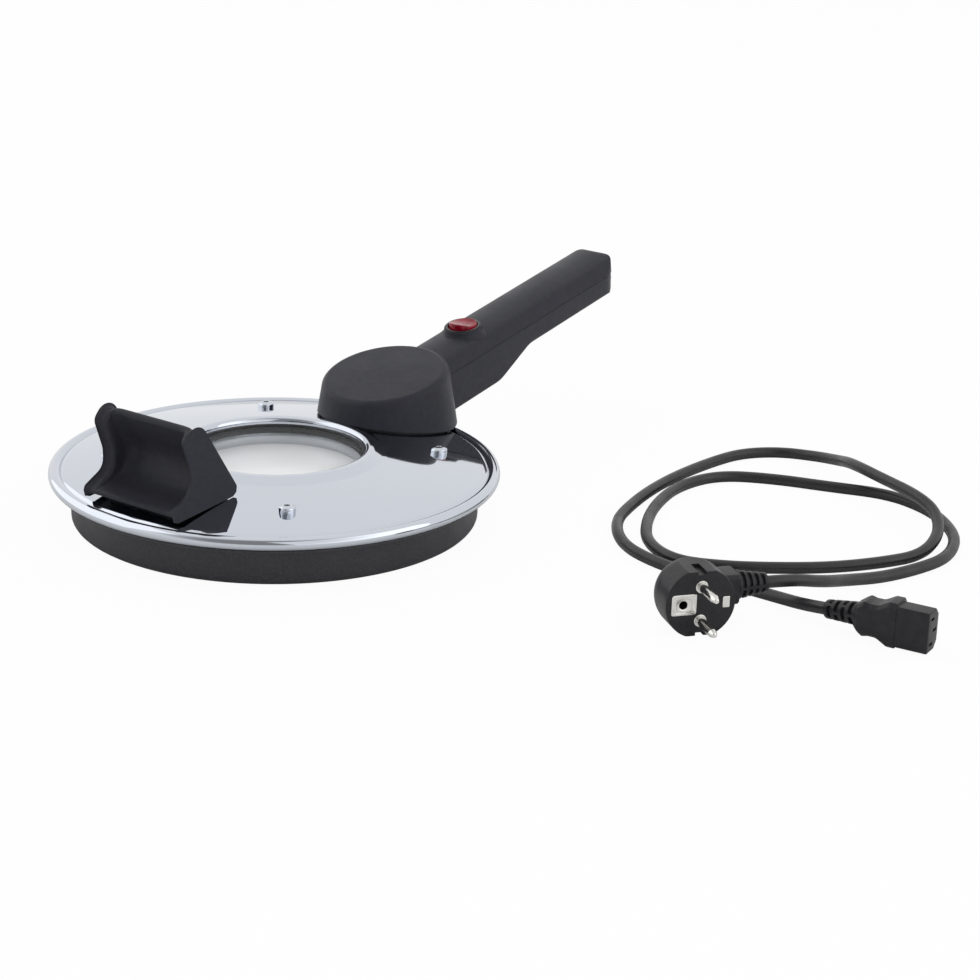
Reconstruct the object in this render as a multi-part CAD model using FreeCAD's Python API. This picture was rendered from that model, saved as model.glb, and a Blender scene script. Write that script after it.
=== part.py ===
import FreeCAD, Part
import math
import os

# Electric baking pan: a flat round pan with a heated lid that lifts off, and its loose mains lead.
# Millimetres. The origin is the centre of the pan's base on the table, +Z is up, and +Y runs
# along the long rear handle. The front grip is at -Y.

V = FreeCAD.Vector
X_AXIS = V(1, 0, 0)
Z_AXIS = V(0, 0, 1)

# Pan
PAN_RADIUS = 120.0
PAN_WALL = 1.8
PAN_FLOOR = 2.5
PAN_CORNER = 3.6
PAN_HEIGHT = 24.1
PAN_FLANGE = 9.0

# Lid shell: domed sheet with a rolled rim and a rolled window bead
SHEET = 0.8
LID_OVERHANG = 12.5
LID_SEAT_GAP = 0.3
RIM_BEAD = 3.3
RIM_GROOVE = 5.0
DOME_RISE = 10.8
WINDOW_BEAD_RADIUS = 55.5
WINDOW_BEAD = 2.9
WINDOW_EDGE_DROP = 1.6

# Window
GLASS_THICKNESS = 3.8
GLASS_BITE = 1.6
GASKET_THICKNESS = 1.2
GASKET_WIDTH = 4.0
RETAINER_WALL = 0.8
PANE_THICKNESS = 1.0

# Heater
COVER_DROP = 0.1
COVER_SHEET = 0.8
COVER_INSET = 8.0
COVER_SLOTS = 16
SLOT_WIDTH = 3.6
INSULATION = 2.0
REFLECTOR = 0.5
ELEMENT_BEFORE_POD = 16.0
ELEMENT_TUBE = 3.25
ELEMENT_LIFT = 0.75
ELEMENT_END_SPACING = 42.578
ELEMENT_ROOM = 0.2
TERMINAL_R = 2.0
CLIP_STRAP = 0.6
CLIP_CLEARANCE = 0.1
CLIP_WIDTH = 7.0
CLIP_ANGLES = (0.0, 180.0, 240.0, 300.0)

# Dome screws through the lid
LID_SCREW_OUTSIDE = 9.0
LID_SCREW_R = 1.5
LID_SCREW_HEAD_R = 3.8
LID_SCREW_HEAD = 2.2
LID_SCREW_CROWN = 1.5
LID_SCREW_ANGLES = (45.0, 135.0, 225.0, 315.0)
LID_NUT_R = 3.2
LID_NUT_HEIGHT = 2.2

# Front grip
GRIP_HALF_WIDTH = 34.0
GRIP_CHEEK = 5.0
GRIP_FROM_WINDOW = 8.6
GRIP_LENGTH = 54.5
GRIP_STANDOFF = 2.1
GRIP_FRONT_LIFT = 4.4
GRIP_HEIGHT = 43.0
GRIP_LEAN = 30.5
GRIP_WALL = 4.6
GRIP_EDGE = 1.6
GRIP_DISH_BEND = 16.0
GRIP_DISH_CORNER = 5.0
GRIP_PAD_INSET = 7.0
GRIP_SCREW_X = 16.0

# Small screws driven up from under the lid sheet
SMALL_SCREW_R = 1.5
SMALL_HEAD_R = 3.0
SMALL_HEAD = 1.6
SCREW_BITE = 4.0

# Pod on the lid
POD_FROM_WINDOW = 2.3
POD_INSIDE_PAN = 16.0
POD_RADIUS = 43.3
POD_DRAFT = 9.0
POD_STANDOFF = 3.4
POD_BASE_TILT = 6.9
POD_TOP_Z = 64.6
POD_TOP_TILT = 12.9
POD_TOP_ROUND = 4.6
POD_PLATE = 2.0
POD_PLATE_INSET = 2.2
POD_SCREWS = ((26.0, -23.0), (-26.0, -23.0), (0.0, 5.5))
SHELL_WALL = 2.4

# Thermal cut-out and terminal block in the pod
CUTOUT_R = 6.5
CUTOUT_HEIGHT = 9.0
CUTOUT_AT = (0.0, -6.0)
BLOCK_HALF = 25.0
BLOCK_DEPTH = 11.0
BLOCK_HEIGHT = 11.0

# Handle
HANDLE_RISE = 10.2
HANDLE_LENGTH = 235.0
HANDLE_HALF_WIDTH = 19.0
HANDLE_TOP_HALF = 16.6
HANDLE_SHOULDER = 8.2
HANDLE_CROWN = 11.6
HANDLE_TOP_ROUND = 2.2
HANDLE_END_ROUND = 13.0
PARTING_Z = 50.1
LOWER_STEP = 0.4
LOWER_TAPER = 2.6
GRIP_DEPTH = 15.0
BELLY_DEPTH = 28.0
BELLY_END = 95.0
BELLY_RUN_OUT = 33.0
BELLY_ROUND = 22.0
LOWER_ROUND = 2.5
HANDLE_SCREW_ALONG = (57.0, 141.0)
HANDLE_SCREW_FROM_END = 40.0
BOSS_R = 3.6

# Rocker switch
SWITCH_AT = 80.6
COLLAR_FLARE = 2.6
COLLAR_LIP = 0.7
COLLAR_TOP = 14.0
BEZEL_LIP = 0.8
BEZEL_THICKNESS = 0.7
SWITCH_BODY_R = 10.4
SWITCH_DEPTH = 18.0
SWITCH_WALL = 0.7
ROCKER_CLEARANCE = 0.7
ROCKER_BELOW = 3.2
ROCKER_ABOVE = 4.2
ROCKER_DISH_R = 25.0
ROCKER_TILT = 8.0
ROCKER_PIN_R = 1.0
ROCKER_PIN_GAP = 0.06
PIVOT_DROP = 1.0
LAMP_R = 2.0
LAMP_LENGTH = 4.3

# Mains inlet in the end of the handle
INLET_HALF_WIDTH = 13.6
INLET_HALF_HEIGHT = 9.7
INLET_WALL = 1.3
INLET_DEPTH = 27.0
INLET_RECESS = 3.0
INLET_CAVITY = 20.0
INLET_DOWN = 1.9
INLET_CORNER = 4.5
INLET_PIN_PITCH = 7.0
INLET_PIN_OFFSET = 2.0
INLET_PIN = (2.0, 4.0)
INLET_PIN_LENGTH = 14.0
INLET_TAIL = 6.0
WIRE_R = 1.3

# Loose mains lead
CORD_R = 3.45
PLUG_FACE = (294.6, 2.2, 18.0)
PLUG_TURN = 53.1
PLUG_R = 19.6
PLUG_FLAT = 18.0
PLUG_DEPTH = 15.0
PLUG_BACK = 31.5
PLUG_BACK_R = 10.0
PLUG_AXIS_BACK = 22.0
PLUG_NECK_HALF = 8.5
PLUG_NECK_END = 28.0
PLUG_GROOVE = (4.6, 1.8, 12.0)
PLUG_PIN_PITCH = 9.5
PLUG_PIN_R = 2.4
PLUG_PIN_LENGTH = 19.0
PLUG_PIN_ROOT = (2.0, 8.0)
EARTH_HOLE_X = 10.0
EARTH_HOLE_R = 2.4
EARTH_HOLE_DEPTH = 17.0
EARTH_PLATE = (14.0, 11.6, 0.5)
EARTH_PLATE_X = -9.5
EARTH_TAB = (4.0, 6.2, 9.0)
EARTH_TAB_X = 14.2
RELIEF_LENGTH = 18.0
RELIEF_START_R = 8.2
RELIEF_END_R = 5.2
RELIEF_RIBS = 4
SOCKET_END = (400.2, 61.2, 12.6)
SOCKET_TURN = 6.0
SOCKET_NOSE = (11.4, 7.2, 18.0)
SOCKET_BEVEL = 3.6
SOCKET_GRIP = (12.6, 7.9, 20.0)
SOCKET_SHOULDER = 4.0
SOCKET_RELIEF_R = 6.4
SOCKET_SLOT = (4.6, 1.6, 14.0)
SOCKET_RELIEF = 20.0
SOCKET_RELIEF_SIDE = 17.0
SOCKET_RELIEF_DROP = 10.5
RELIEF_ROOT = 3.0
CORD_FLOOR = 3.5
CORD_OVER = 17.4
CORD_ROUTE = [
    (314.2, 65.2, 18.0),
    (322.0, 84.0, 13.2),
    (323.5, 109.0, 7.0),
    (332.5, 134.0, CORD_FLOOR),
    (342.0, 159.5, CORD_FLOOR),
    (347.0, 186.5, CORD_FLOOR),
    (338.0, 217.0, CORD_FLOOR),
    (320.5, 239.5, CORD_FLOOR),
    (298.5, 256.5, CORD_FLOOR),
    (268.0, 265.0, CORD_FLOOR),
    (235.0, 253.5, CORD_FLOOR),
    (199.0, 243.0, CORD_FLOOR),
    (169.5, 226.0, CORD_FLOOR),
    (161.5, 193.0, CORD_FLOOR),
    (168.0, 158.0, CORD_FLOOR),
    (181.5, 124.5, CORD_FLOOR),
    (201.5, 94.0, CORD_FLOOR),
    (230.0, 79.5, CORD_FLOOR),
    (257.0, 91.0, CORD_FLOOR),
    (282.0, 109.5, CORD_FLOOR),
    (304.5, 130.5, CORD_FLOOR),
    (322.0, 156.0, CORD_FLOOR),
    (333.5, 181.0, CORD_FLOOR),
    (331.0, 208.0, 7.5),
    (318.5, 229.0, 13.0),
    (300.5, 238.0, CORD_OVER),
    (272.0, 251.0, CORD_OVER),
    (241.0, 266.0, CORD_OVER),
    (223.0, 285.5, 10.0),
    (200.0, 297.0, 5.0),
    (174.5, 292.7, CORD_FLOOR),
    (157.5, 273.0, CORD_FLOOR),
    (152.5, 245.0, CORD_FLOOR),
    (150.5, 212.0, CORD_FLOOR),
    (152.0, 179.0, CORD_FLOOR),
    (158.0, 145.0, CORD_FLOOR),
    (168.0, 111.0, CORD_FLOOR),
    (193.0, 81.5, CORD_FLOOR),
    (224.0, 70.0, CORD_FLOOR),
    (251.5, 68.5, CORD_FLOOR),
    (276.0, 70.0, CORD_FLOOR),
    (300.5, 69.0, 3.8),
]

# Worked out from the sizes above
LID_RADIUS = PAN_RADIUS + LID_OVERHANG
BEAD_RADIUS = LID_RADIUS - RIM_BEAD
BEAD_Z = PAN_HEIGHT + LID_SEAT_GAP + RIM_BEAD
DOME_EDGE = BEAD_RADIUS - RIM_GROOVE
DOME_EDGE_Z = BEAD_Z + RIM_BEAD + 0.2
DOME_SPHERE = (DOME_EDGE ** 2 + DOME_RISE ** 2) / (2 * DOME_RISE)
DOME_CENTRE_Z = DOME_EDGE_Z + DOME_RISE - DOME_SPHERE
WINDOW_EDGE = WINDOW_BEAD_RADIUS + WINDOW_BEAD
GRIP_BACK = -WINDOW_EDGE - GRIP_FROM_WINDOW
GRIP_FRONT = GRIP_BACK - GRIP_LENGTH
POD_CENTRE = max(WINDOW_EDGE + POD_FROM_WINDOW + POD_RADIUS, PAN_RADIUS - POD_INSIDE_PAN)
ELEMENT_RADIUS = POD_CENTRE - ELEMENT_BEFORE_POD
LID_SCREW_CIRCLE = ELEMENT_RADIUS + LID_SCREW_OUTSIDE
HANDLE_SCREWS = HANDLE_SCREW_ALONG + (HANDLE_LENGTH - HANDLE_SCREW_FROM_END,)
BEZEL_R = SWITCH_BODY_R + BEZEL_LIP
COLLAR_TOP_R = BEZEL_R + COLLAR_LIP
COLLAR_BASE_R = COLLAR_TOP_R + COLLAR_FLARE
ROCKER_R = SWITCH_BODY_R - SWITCH_WALL - ROCKER_CLEARANCE


def polar(radius, degrees):
    """X and Y of a point at a radius and an angle about Z."""
    turn = math.radians(degrees)
    return radius * math.cos(turn), radius * math.sin(turn)


def dome_z(radius, depth=0.0):
    """Height of the dome's surface, or of a surface parallel to it and deeper, at a radius."""
    return DOME_CENTRE_Z + math.sqrt((DOME_SPHERE - depth) ** 2 - radius ** 2)


def face(place, start, steps):
    """A flat face whose outline has lines to points and arcs given as (middle, end) pairs."""
    edges = []
    here = start
    for step in list(steps) + [start]:
        if isinstance(step[0], tuple):
            edges.append(Part.Arc(place(*here), place(*step[0]), place(*step[1])).toShape())
            here = step[1]
        elif math.dist(step, here) > 1e-6:
            edges.append(Part.LineSegment(place(*here), place(*step)).toShape())
            here = step
    return Part.Face(Part.Wire(edges))


def turned(start, steps):
    """A solid turned about Z from an outline of (radius, height) points."""
    profile = face(lambda radius, z: V(radius, 0, z), start, steps)
    return profile.revolve(V(0, 0, 0), Z_AXIS, 360)


def ring(inner, outer, low, high):
    """A plain ring about Z."""
    return turned((inner, low), [(outer, low), (outer, high), (inner, high)])


def dome_ring(inner, outer, top, bottom):
    """A ring that follows the dome between two depths below its surface."""
    middle = (inner + outer) / 2
    steps = [
        ((middle, dome_z(middle, top)), (outer, dome_z(outer, top))),
        (outer, dome_z(outer, bottom)),
        ((middle, dome_z(middle, bottom)), (inner, dome_z(inner, bottom))),
    ]
    return turned((inner, dome_z(inner, top)), steps)


def rod(radius, low, high, x=0.0, y=0.0):
    """An upright cylinder."""
    return Part.makeCylinder(radius, high - low, V(x, y, low), Z_AXIS)


def block(low, high):
    """A box between two corners."""
    return Part.makeBox(high[0] - low[0], high[1] - low[1], high[2] - low[2], V(*low))


def above_dome(shape, depth=0.0):
    """The part of a shape that lies above the dome's surface."""
    ball = Part.makeSphere(DOME_SPHERE - depth, V(0, 0, DOME_CENTRE_Z))
    return shape.cut(ball)


def fused(shapes):
    """One solid made of several."""
    shapes = list(shapes)
    return shapes[0].fuse(shapes[1:]).removeSplitter()


def group(shapes):
    """Separate solids kept in one node."""
    return Part.makeCompound(list(shapes))


def tube(points, radius):
    """A round tube along straight runs joined by tangent arcs as large as the runs allow."""
    points = [V(*point) for point in points]
    edges = []
    radii = []
    here = points[0]
    for before, corner, after in zip(points, points[1:], points[2:]):
        back = (before - corner).normalize()
        ahead = (after - corner).normalize()
        half_turn = (math.pi - back.getAngle(ahead)) / 2
        reach = 0.45 * min((before - corner).Length, (after - corner).Length)
        bend = reach / math.tan(half_turn)
        middle = (back + ahead).normalize()
        centre_distance = bend / math.cos(half_turn)
        near = corner + back * reach
        far = corner + ahead * reach
        edges.append(Part.LineSegment(here, near).toShape())
        edges.append(Part.Arc(near, corner + middle * (centre_distance - bend), far).toShape())
        radii.append(bend)
        here = far
    edges.append(Part.LineSegment(here, points[-1]).toShape())
    path = Part.Wire(edges)
    section = Part.Wire(Part.makeCircle(radius, points[0], points[1] - points[0]))
    solid = path.makePipeShell([section], True, False)
    return solid, path, radii


# Pan

def pan_shell():
    """Pressed pan with a small bottom corner and a flat flange that carries the lid's rim."""
    inside = PAN_RADIUS - PAN_WALL
    flange = PAN_RADIUS + PAN_FLANGE
    flange_low = PAN_HEIGHT - PAN_WALL
    bend = PAN_CORNER * (1 - math.sqrt(0.5))
    inner_corner = PAN_CORNER - PAN_WALL / 2
    inner_bend = inner_corner * (1 - math.sqrt(0.5))
    steps = [
        (PAN_RADIUS - PAN_CORNER, 0.0),
        ((PAN_RADIUS - bend, bend), (PAN_RADIUS, PAN_CORNER)),
        (PAN_RADIUS, flange_low),
        (flange, flange_low),
        (flange, PAN_HEIGHT),
        (inside, PAN_HEIGHT),
        (inside, PAN_FLOOR + inner_corner),
        ((inside - inner_bend, PAN_FLOOR + inner_bend), (inside - inner_corner, PAN_FLOOR)),
        (0.0, PAN_FLOOR),
    ]
    return turned((0.0, 0.0), steps)


# Lid shell

def bead_point(radius, degrees):
    """A point on a circle about the middle of the rolled rim, in (radius, height)."""
    x, z = polar(radius, degrees)
    return BEAD_RADIUS + x, BEAD_Z + z


def lid_holes():
    """Everything that passes through the lid sheet."""
    cuts = []
    for angle in LID_SCREW_ANGLES:
        cuts.append(rod(LID_SCREW_R, 0, 100, *polar(LID_SCREW_CIRCLE, angle)))
    for x, y in element_ends():
        cuts.append(rod(TERMINAL_R + 1.5, 0, 100, x, y))
    for x, y in small_screw_places():
        cuts.append(rod(SMALL_SCREW_R, 0, 100, x, y))
    return group(cuts)


def window_foot():
    """Radius and height where the dome meets the window bead."""
    foot = WINDOW_BEAD_RADIUS + WINDOW_BEAD
    return foot, dome_z(foot)


def window_edge_z():
    """Height of the shell's inner edge, which presses on the gasket."""
    return window_foot()[1] - WINDOW_EDGE_DROP


def lid_shell():
    """Domed sheet rolled over at the rim, with a rolled bead round the window."""
    foot, foot_z = window_foot()
    inner = WINDOW_BEAD_RADIUS - WINDOW_BEAD
    low = window_edge_z()
    middle = (foot + DOME_EDGE) / 2
    curl = RIM_BEAD - SHEET
    steps = [
        (inner, foot_z),
        ((WINDOW_BEAD_RADIUS, foot_z + WINDOW_BEAD), (foot, foot_z)),
        ((middle, dome_z(middle)), (DOME_EDGE, dome_z(DOME_EDGE))),
        bead_point(RIM_BEAD, 150),
        (bead_point(RIM_BEAD, 70), bead_point(RIM_BEAD, -10)),
        (bead_point(RIM_BEAD, -90), bead_point(RIM_BEAD, -170)),
        bead_point(curl, -170),
        (bead_point(curl, -90), bead_point(curl, -10)),
        (bead_point(curl, 70), bead_point(curl, 150)),
        (DOME_EDGE, dome_z(DOME_EDGE, SHEET)),
        ((middle, dome_z(middle, SHEET)), (foot - SHEET, dome_z(foot - SHEET, SHEET))),
        (foot - SHEET, foot_z),
        ((WINDOW_BEAD_RADIUS, foot_z + WINDOW_BEAD - SHEET), (inner + SHEET, foot_z)),
        (inner + SHEET, low),
    ]
    return turned((inner, low), steps).cut(lid_holes())


# Window

def glass_top():
    return window_edge_z() - GASKET_THICKNESS


def glass_low():
    return glass_top() - GLASS_THICKNESS


def window_opening():
    """Clear radius through the window."""
    return WINDOW_BEAD_RADIUS - WINDOW_BEAD - GLASS_BITE + 0.4


def window_gasket():
    inner = window_opening()
    return ring(inner, inner + GASKET_WIDTH, glass_top(), window_edge_z())


def window_glass():
    """Glass disc with a small chamfer at its edge."""
    radius = window_opening() + GASKET_WIDTH - 1.0
    chamfer = 0.5
    low, top = glass_low(), glass_top()
    steps = [
        (radius - chamfer, low),
        (radius, low + chamfer),
        (radius, top - chamfer),
        (radius - chamfer, top),
        (0.0, top),
    ]
    return turned((0.0, low), steps)


def window_retainer():
    """Steel well under the glass: it carries the glass and stands on the element cover."""
    inner = window_opening() - RETAINER_WALL
    outer = inner + RETAINER_WALL
    reach = inner + GASKET_WIDTH + 1.0
    low, top = cover_top(), glass_low()
    steps = [
        (reach, low),
        (reach, low + RETAINER_WALL),
        (outer, low + RETAINER_WALL),
        (outer, top - RETAINER_WALL),
        (reach, top - RETAINER_WALL),
        (reach, top),
        (inner, top),
    ]
    return turned((inner, low), steps)


def window_pane():
    """Opal disc that closes the well below, flush with the underside of the element cover."""
    return rod(window_opening() - RETAINER_WALL, cover_low(), cover_low() + PANE_THICKNESS, 0, 0)


# Heater under the dome

def cover_low():
    return PAN_HEIGHT + COVER_DROP


def cover_top():
    return cover_low() + COVER_SHEET


def element_cover():
    """Shallow slotted tray that closes the heater space, pulled up by the four dome screws."""
    inner = window_opening() - RETAINER_WALL
    flat = PAN_RADIUS - COVER_INSET
    rim = PAN_RADIUS
    rim_top = dome_z(rim, SHEET)
    wall = flat + 0.5 * COVER_INSET
    steps = [
        (flat, cover_low()),
        (wall, rim_top - COVER_SHEET),
        (rim, rim_top - COVER_SHEET),
        (rim, rim_top),
        (wall - COVER_SHEET, rim_top),
        (flat - COVER_SHEET, cover_top()),
        (inner, cover_top()),
    ]
    tray = turned((inner, cover_low()), steps)
    cuts = []
    for k in range(COVER_SLOTS):
        slot = block((inner + 14, -SLOT_WIDTH / 2, 0), (flat - 7, SLOT_WIDTH / 2, cover_top() + 1))
        slot.rotate(V(0, 0, 0), Z_AXIS, (k + 0.5) * 360 / COVER_SLOTS)
        cuts.append(slot)
    for angle in LID_SCREW_ANGLES:
        cuts.append(rod(LID_SCREW_R, 0, 100, *polar(LID_SCREW_CIRCLE, angle)))
    for x, y in small_screw_places():
        low = dome_z(math.hypot(x, y), SHEET) - SMALL_HEAD - 0.2
        cuts.append(rod(SMALL_HEAD_R + 0.2, low, 100, x, y))
    return tray.cut(group(cuts))


def element_z():
    return cover_top() + ELEMENT_LIFT + ELEMENT_TUBE


def element_gap():
    """Half the angle left open between the element's two ends."""
    return math.degrees(math.asin(ELEMENT_END_SPACING / 2 / ELEMENT_RADIUS))


def element_ends():
    """Where the element's two ends turn up into the pod."""
    half = element_gap()
    return [polar(ELEMENT_RADIUS, 90 - half), polar(ELEMENT_RADIUS, 90 + half)]


def heating_element():
    """Sheathed ring heater whose ends turn up through the lid."""
    sweep = 360 - 2 * element_gap()
    coil = Part.makeTorus(ELEMENT_RADIUS, ELEMENT_TUBE, V(0, 0, 0), Z_AXIS, -180, 180, sweep)
    coil.rotate(V(0, 0, 0), Z_AXIS, 90 + element_gap())
    coil.translate(V(0, 0, element_z()))
    ends = [rod(TERMINAL_R, element_z(), terminal_top() - 3.0, x, y) for x, y in element_ends()]
    return fused([coil] + ends)


def element_clips():
    """Saddle clips that hold the heater down on the cover."""
    inner = ELEMENT_TUBE + CLIP_CLEARANCE
    outer = inner + CLIP_STRAP
    half = CLIP_WIDTH / 2
    low = cover_top() - element_z()
    profile = face(
        lambda across, up: V(across, -half, up),
        (-outer - 4.0, low),
        [
            (-inner, low),
            (-inner, 0.0),
            ((0.0, inner), (inner, 0.0)),
            (inner, low),
            (outer + 4.0, low),
            (outer + 4.0, low + CLIP_STRAP),
            (outer, low + CLIP_STRAP),
            (outer, 0.0),
            ((0.0, outer), (-outer, 0.0)),
            (-outer, low + CLIP_STRAP),
            (-outer - 4.0, low + CLIP_STRAP),
        ],
    )
    clip = profile.extrude(V(0, CLIP_WIDTH, 0))
    clip.translate(V(ELEMENT_RADIUS, 0, element_z()))
    clips = []
    for angle in CLIP_ANGLES:
        turned_clip = clip.copy()
        turned_clip.rotate(V(0, 0, 0), Z_AXIS, angle)
        clips.append(turned_clip)
    return group(clips)


def heater_cuts():
    """Room for what passes through the insulation and the reflector."""
    cuts = []
    for angle in LID_SCREW_ANGLES:
        cuts.append(rod(2 * LID_SCREW_R + 0.1, 0, 100, *polar(LID_SCREW_CIRCLE, angle)))
    for x, y in element_ends():
        cuts.append(rod(TERMINAL_R + 1.5, 0, 100, x, y))
    for x, y in small_screw_places():
        cuts.append(rod(SMALL_HEAD_R + 0.2, 0, 100, x, y))
    reach = ELEMENT_TUBE + ELEMENT_ROOM
    cuts.append(Part.makeTorus(ELEMENT_RADIUS, reach, V(0, 0, element_z()), Z_AXIS))
    half = CLIP_WIDTH / 2 + ELEMENT_ROOM
    for angle in CLIP_ANGLES:
        room = Part.makeCylinder(
            reach + CLIP_CLEARANCE + CLIP_STRAP, 2 * half, V(ELEMENT_RADIUS, -half, element_z()), V(0, 1, 0)
        )
        room.rotate(V(0, 0, 0), Z_AXIS, angle)
        cuts.append(room)
    return group(cuts)


def heater_inner():
    return WINDOW_BEAD_RADIUS + WINDOW_BEAD + 1.6


def heater_outer():
    return PAN_RADIUS - COVER_INSET


def insulation_ring():
    ring_solid = dome_ring(heater_inner(), heater_outer(), SHEET, SHEET + INSULATION)
    return ring_solid.cut(heater_cuts())


def reflector_ring():
    top = SHEET + INSULATION
    return dome_ring(heater_inner(), heater_outer(), top, top + REFLECTOR).cut(heater_cuts())


def lid_screws():
    """Four polished dome-head screws that show on the lid."""
    screws = []
    seat = dome_z(LID_SCREW_CIRCLE)
    crown_r = (LID_SCREW_HEAD_R ** 2 + LID_SCREW_CROWN ** 2) / (2 * LID_SCREW_CROWN)
    for angle in LID_SCREW_ANGLES:
        x, y = polar(LID_SCREW_CIRCLE, angle)
        head = rod(LID_SCREW_HEAD_R, seat - 1, seat + LID_SCREW_HEAD + LID_SCREW_CROWN, x, y)
        crown_z = seat + LID_SCREW_HEAD + LID_SCREW_CROWN - crown_r
        head = head.common(Part.makeSphere(crown_r, V(x, y, crown_z)))
        shank = rod(LID_SCREW_R, cover_low() - LID_NUT_HEIGHT, seat + 1, x, y)
        screws.append(fused([above_dome(head), shank]))
    return group(screws)


def lid_spacers():
    """Bushes round the screws that hold the cover at its distance from the dome."""
    ball = Part.makeSphere(DOME_SPHERE - SHEET, V(0, 0, DOME_CENTRE_Z))
    bushes = []
    for angle in LID_SCREW_ANGLES:
        x, y = polar(LID_SCREW_CIRCLE, angle)
        bush = rod(2 * LID_SCREW_R, cover_top(), dome_z(LID_SCREW_CIRCLE), x, y)
        bushes.append(bush.cut(rod(LID_SCREW_R, 0, 100, x, y)).common(ball))
    return group(bushes)


def lid_nuts():
    """Hexagon nuts under the cover."""
    nuts = []
    for angle in LID_SCREW_ANGLES:
        x, y = polar(LID_SCREW_CIRCLE, angle)
        corners = [polar(LID_NUT_R, 60 * k) for k in range(7)]
        corners = [V(x + a, y + b, cover_low() - LID_NUT_HEIGHT) for a, b in corners]
        nut = Part.Face(Part.makePolygon(corners)).extrude(V(0, 0, LID_NUT_HEIGHT))
        nuts.append(nut.cut(rod(LID_SCREW_R, 0, 100, x, y)))
    return group(nuts)


# Front grip: a scoop for the hand that also props the lid when it is laid upside down

def grip_bottom_z(y):
    """Height of the grip's flat underside, which slopes with the dome."""
    back = dome_z(abs(GRIP_BACK)) + GRIP_STANDOFF
    front = dome_z(abs(GRIP_FRONT)) + GRIP_FRONT_LIFT
    share = (y - GRIP_BACK) / (GRIP_FRONT - GRIP_BACK)
    return back + share * (front - back)


def grip_peak():
    """Top of the leaning back face."""
    return GRIP_BACK - GRIP_LEAN, grip_bottom_z(GRIP_BACK) + GRIP_HEIGHT


def along_x(half_width, start, steps):
    """A solid of one (y, z) outline between two planes across X."""
    profile = face(lambda y, z: V(-half_width, y, z), start, steps)
    return profile.extrude(V(2 * half_width, 0, 0))


def rounded_x(solid, places):
    """Round the edges that run along X through given (y, z, radius) places."""
    for y, z, radius in places:
        edges = [
            edge for edge in solid.Edges
            if edge.BoundBox.YLength < 1e-3 and edge.BoundBox.ZLength < 1e-3
            and abs(edge.BoundBox.YMin - y) < 1e-3 and abs(edge.BoundBox.ZMin - z) < 1e-3
        ]
        solid = solid.makeFillet(radius, edges)
    return solid


def side_edges(solid):
    """The edges of a prism along X that outline its two flat sides."""
    return [edge for edge in solid.Edges if edge.BoundBox.XLength < 1e-3]


def grip_outer():
    """The grip's outside: a leaning back, a rounded peak, a waist and a flared foot."""
    peak_y, peak_z = grip_peak()
    base = grip_bottom_z(GRIP_FRONT)
    peak = (peak_y - 1.5, peak_z + 2.0)
    shoulder = (peak_y - 15.0, peak_z - 7.0)
    waist = (peak_y - 7.6, peak_z - 24.0)
    ankle = (peak_y - 7.4, base + 11.0)
    toe = (GRIP_FRONT, base + 2.8)
    heel = GRIP_FRONT + 0.5
    outline = [peak, shoulder, waist, ankle, toe, (heel, grip_bottom_z(heel))]
    body = along_x(GRIP_HALF_WIDTH, (GRIP_BACK, grip_bottom_z(GRIP_BACK)), outline)
    rounds = [peak + (4.0,), shoulder + (2.6,), waist + (16.0,), ankle + (11.0,)]
    body = rounded_x(body, rounds)
    return body.makeFillet(GRIP_EDGE, side_edges(body))


def grip_dish():
    """The hand dish between the cheeks, open upwards and to the front."""
    peak_y, peak_z = grip_peak()
    base = grip_bottom_z(GRIP_FRONT)
    slope = GRIP_LEAN / GRIP_HEIGHT
    wall = GRIP_WALL * math.sqrt(1 + slope ** 2)
    top = (peak_y - wall - 8.0 * slope, peak_z + 8.0)
    corner_z = base + 7.5
    corner = (peak_y - wall + slope * (peak_z - corner_z), corner_z)
    front = GRIP_FRONT - 8.0
    outline = [corner, (front, base + 2.6), (front, peak_z + 8.0)]
    dish = along_x(GRIP_HALF_WIDTH - GRIP_CHEEK, top, outline)
    dish = rounded_x(dish, [corner + (GRIP_DISH_BEND,)])
    inner = [
        edge for edge in side_edges(dish)
        if edge.BoundBox.YMax > front + 1e-3 and edge.BoundBox.ZMin < peak_z + 7.9
    ]
    return dish.makeFillet(GRIP_DISH_CORNER, inner)


def front_grip():
    """Scoop with a leaning back, two cheeks and a floor that flares to the front."""
    cuts = [grip_dish()]
    for x, y in grip_screw_places():
        cuts.append(rod(SMALL_SCREW_R, 0, grip_bottom_z(y) + SCREW_BITE, x, y))
    return grip_outer().cut(cuts)


def grip_screw_places():
    y = (GRIP_BACK + GRIP_FRONT) / 2
    return [(-GRIP_SCREW_X, y), (GRIP_SCREW_X, y)]


def grip_pad():
    """Heat-proof pad between the grip and the dome."""
    half = GRIP_HALF_WIDTH - GRIP_PAD_INSET
    back = GRIP_BACK - GRIP_PAD_INSET
    front = GRIP_FRONT + GRIP_PAD_INSET + 3.0
    low = DOME_EDGE_Z - 5.0
    steps = [(front, low), (front, grip_bottom_z(front)), (back, grip_bottom_z(back))]
    pad = above_dome(along_x(half, (back, low), steps))
    for x, y in grip_screw_places():
        pad = pad.cut(rod(SMALL_SCREW_R, 0, 100, x, y))
    return pad


def pod_screw_places():
    return [(x, POD_CENTRE + y) for x, y in POD_SCREWS]


def small_screw_places():
    return grip_screw_places() + pod_screw_places()


def small_screw(x, y, top):
    """Pan-head screw driven up from under the lid sheet."""
    seat = dome_z(math.hypot(x, y), SHEET)
    head = rod(SMALL_HEAD_R, seat - SMALL_HEAD, seat + 1.0, x, y)
    ball = Part.makeSphere(DOME_SPHERE - SHEET, V(0, 0, DOME_CENTRE_Z))
    return fused([head.common(ball), rod(SMALL_SCREW_R, seat - SMALL_HEAD, top, x, y)])


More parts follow.
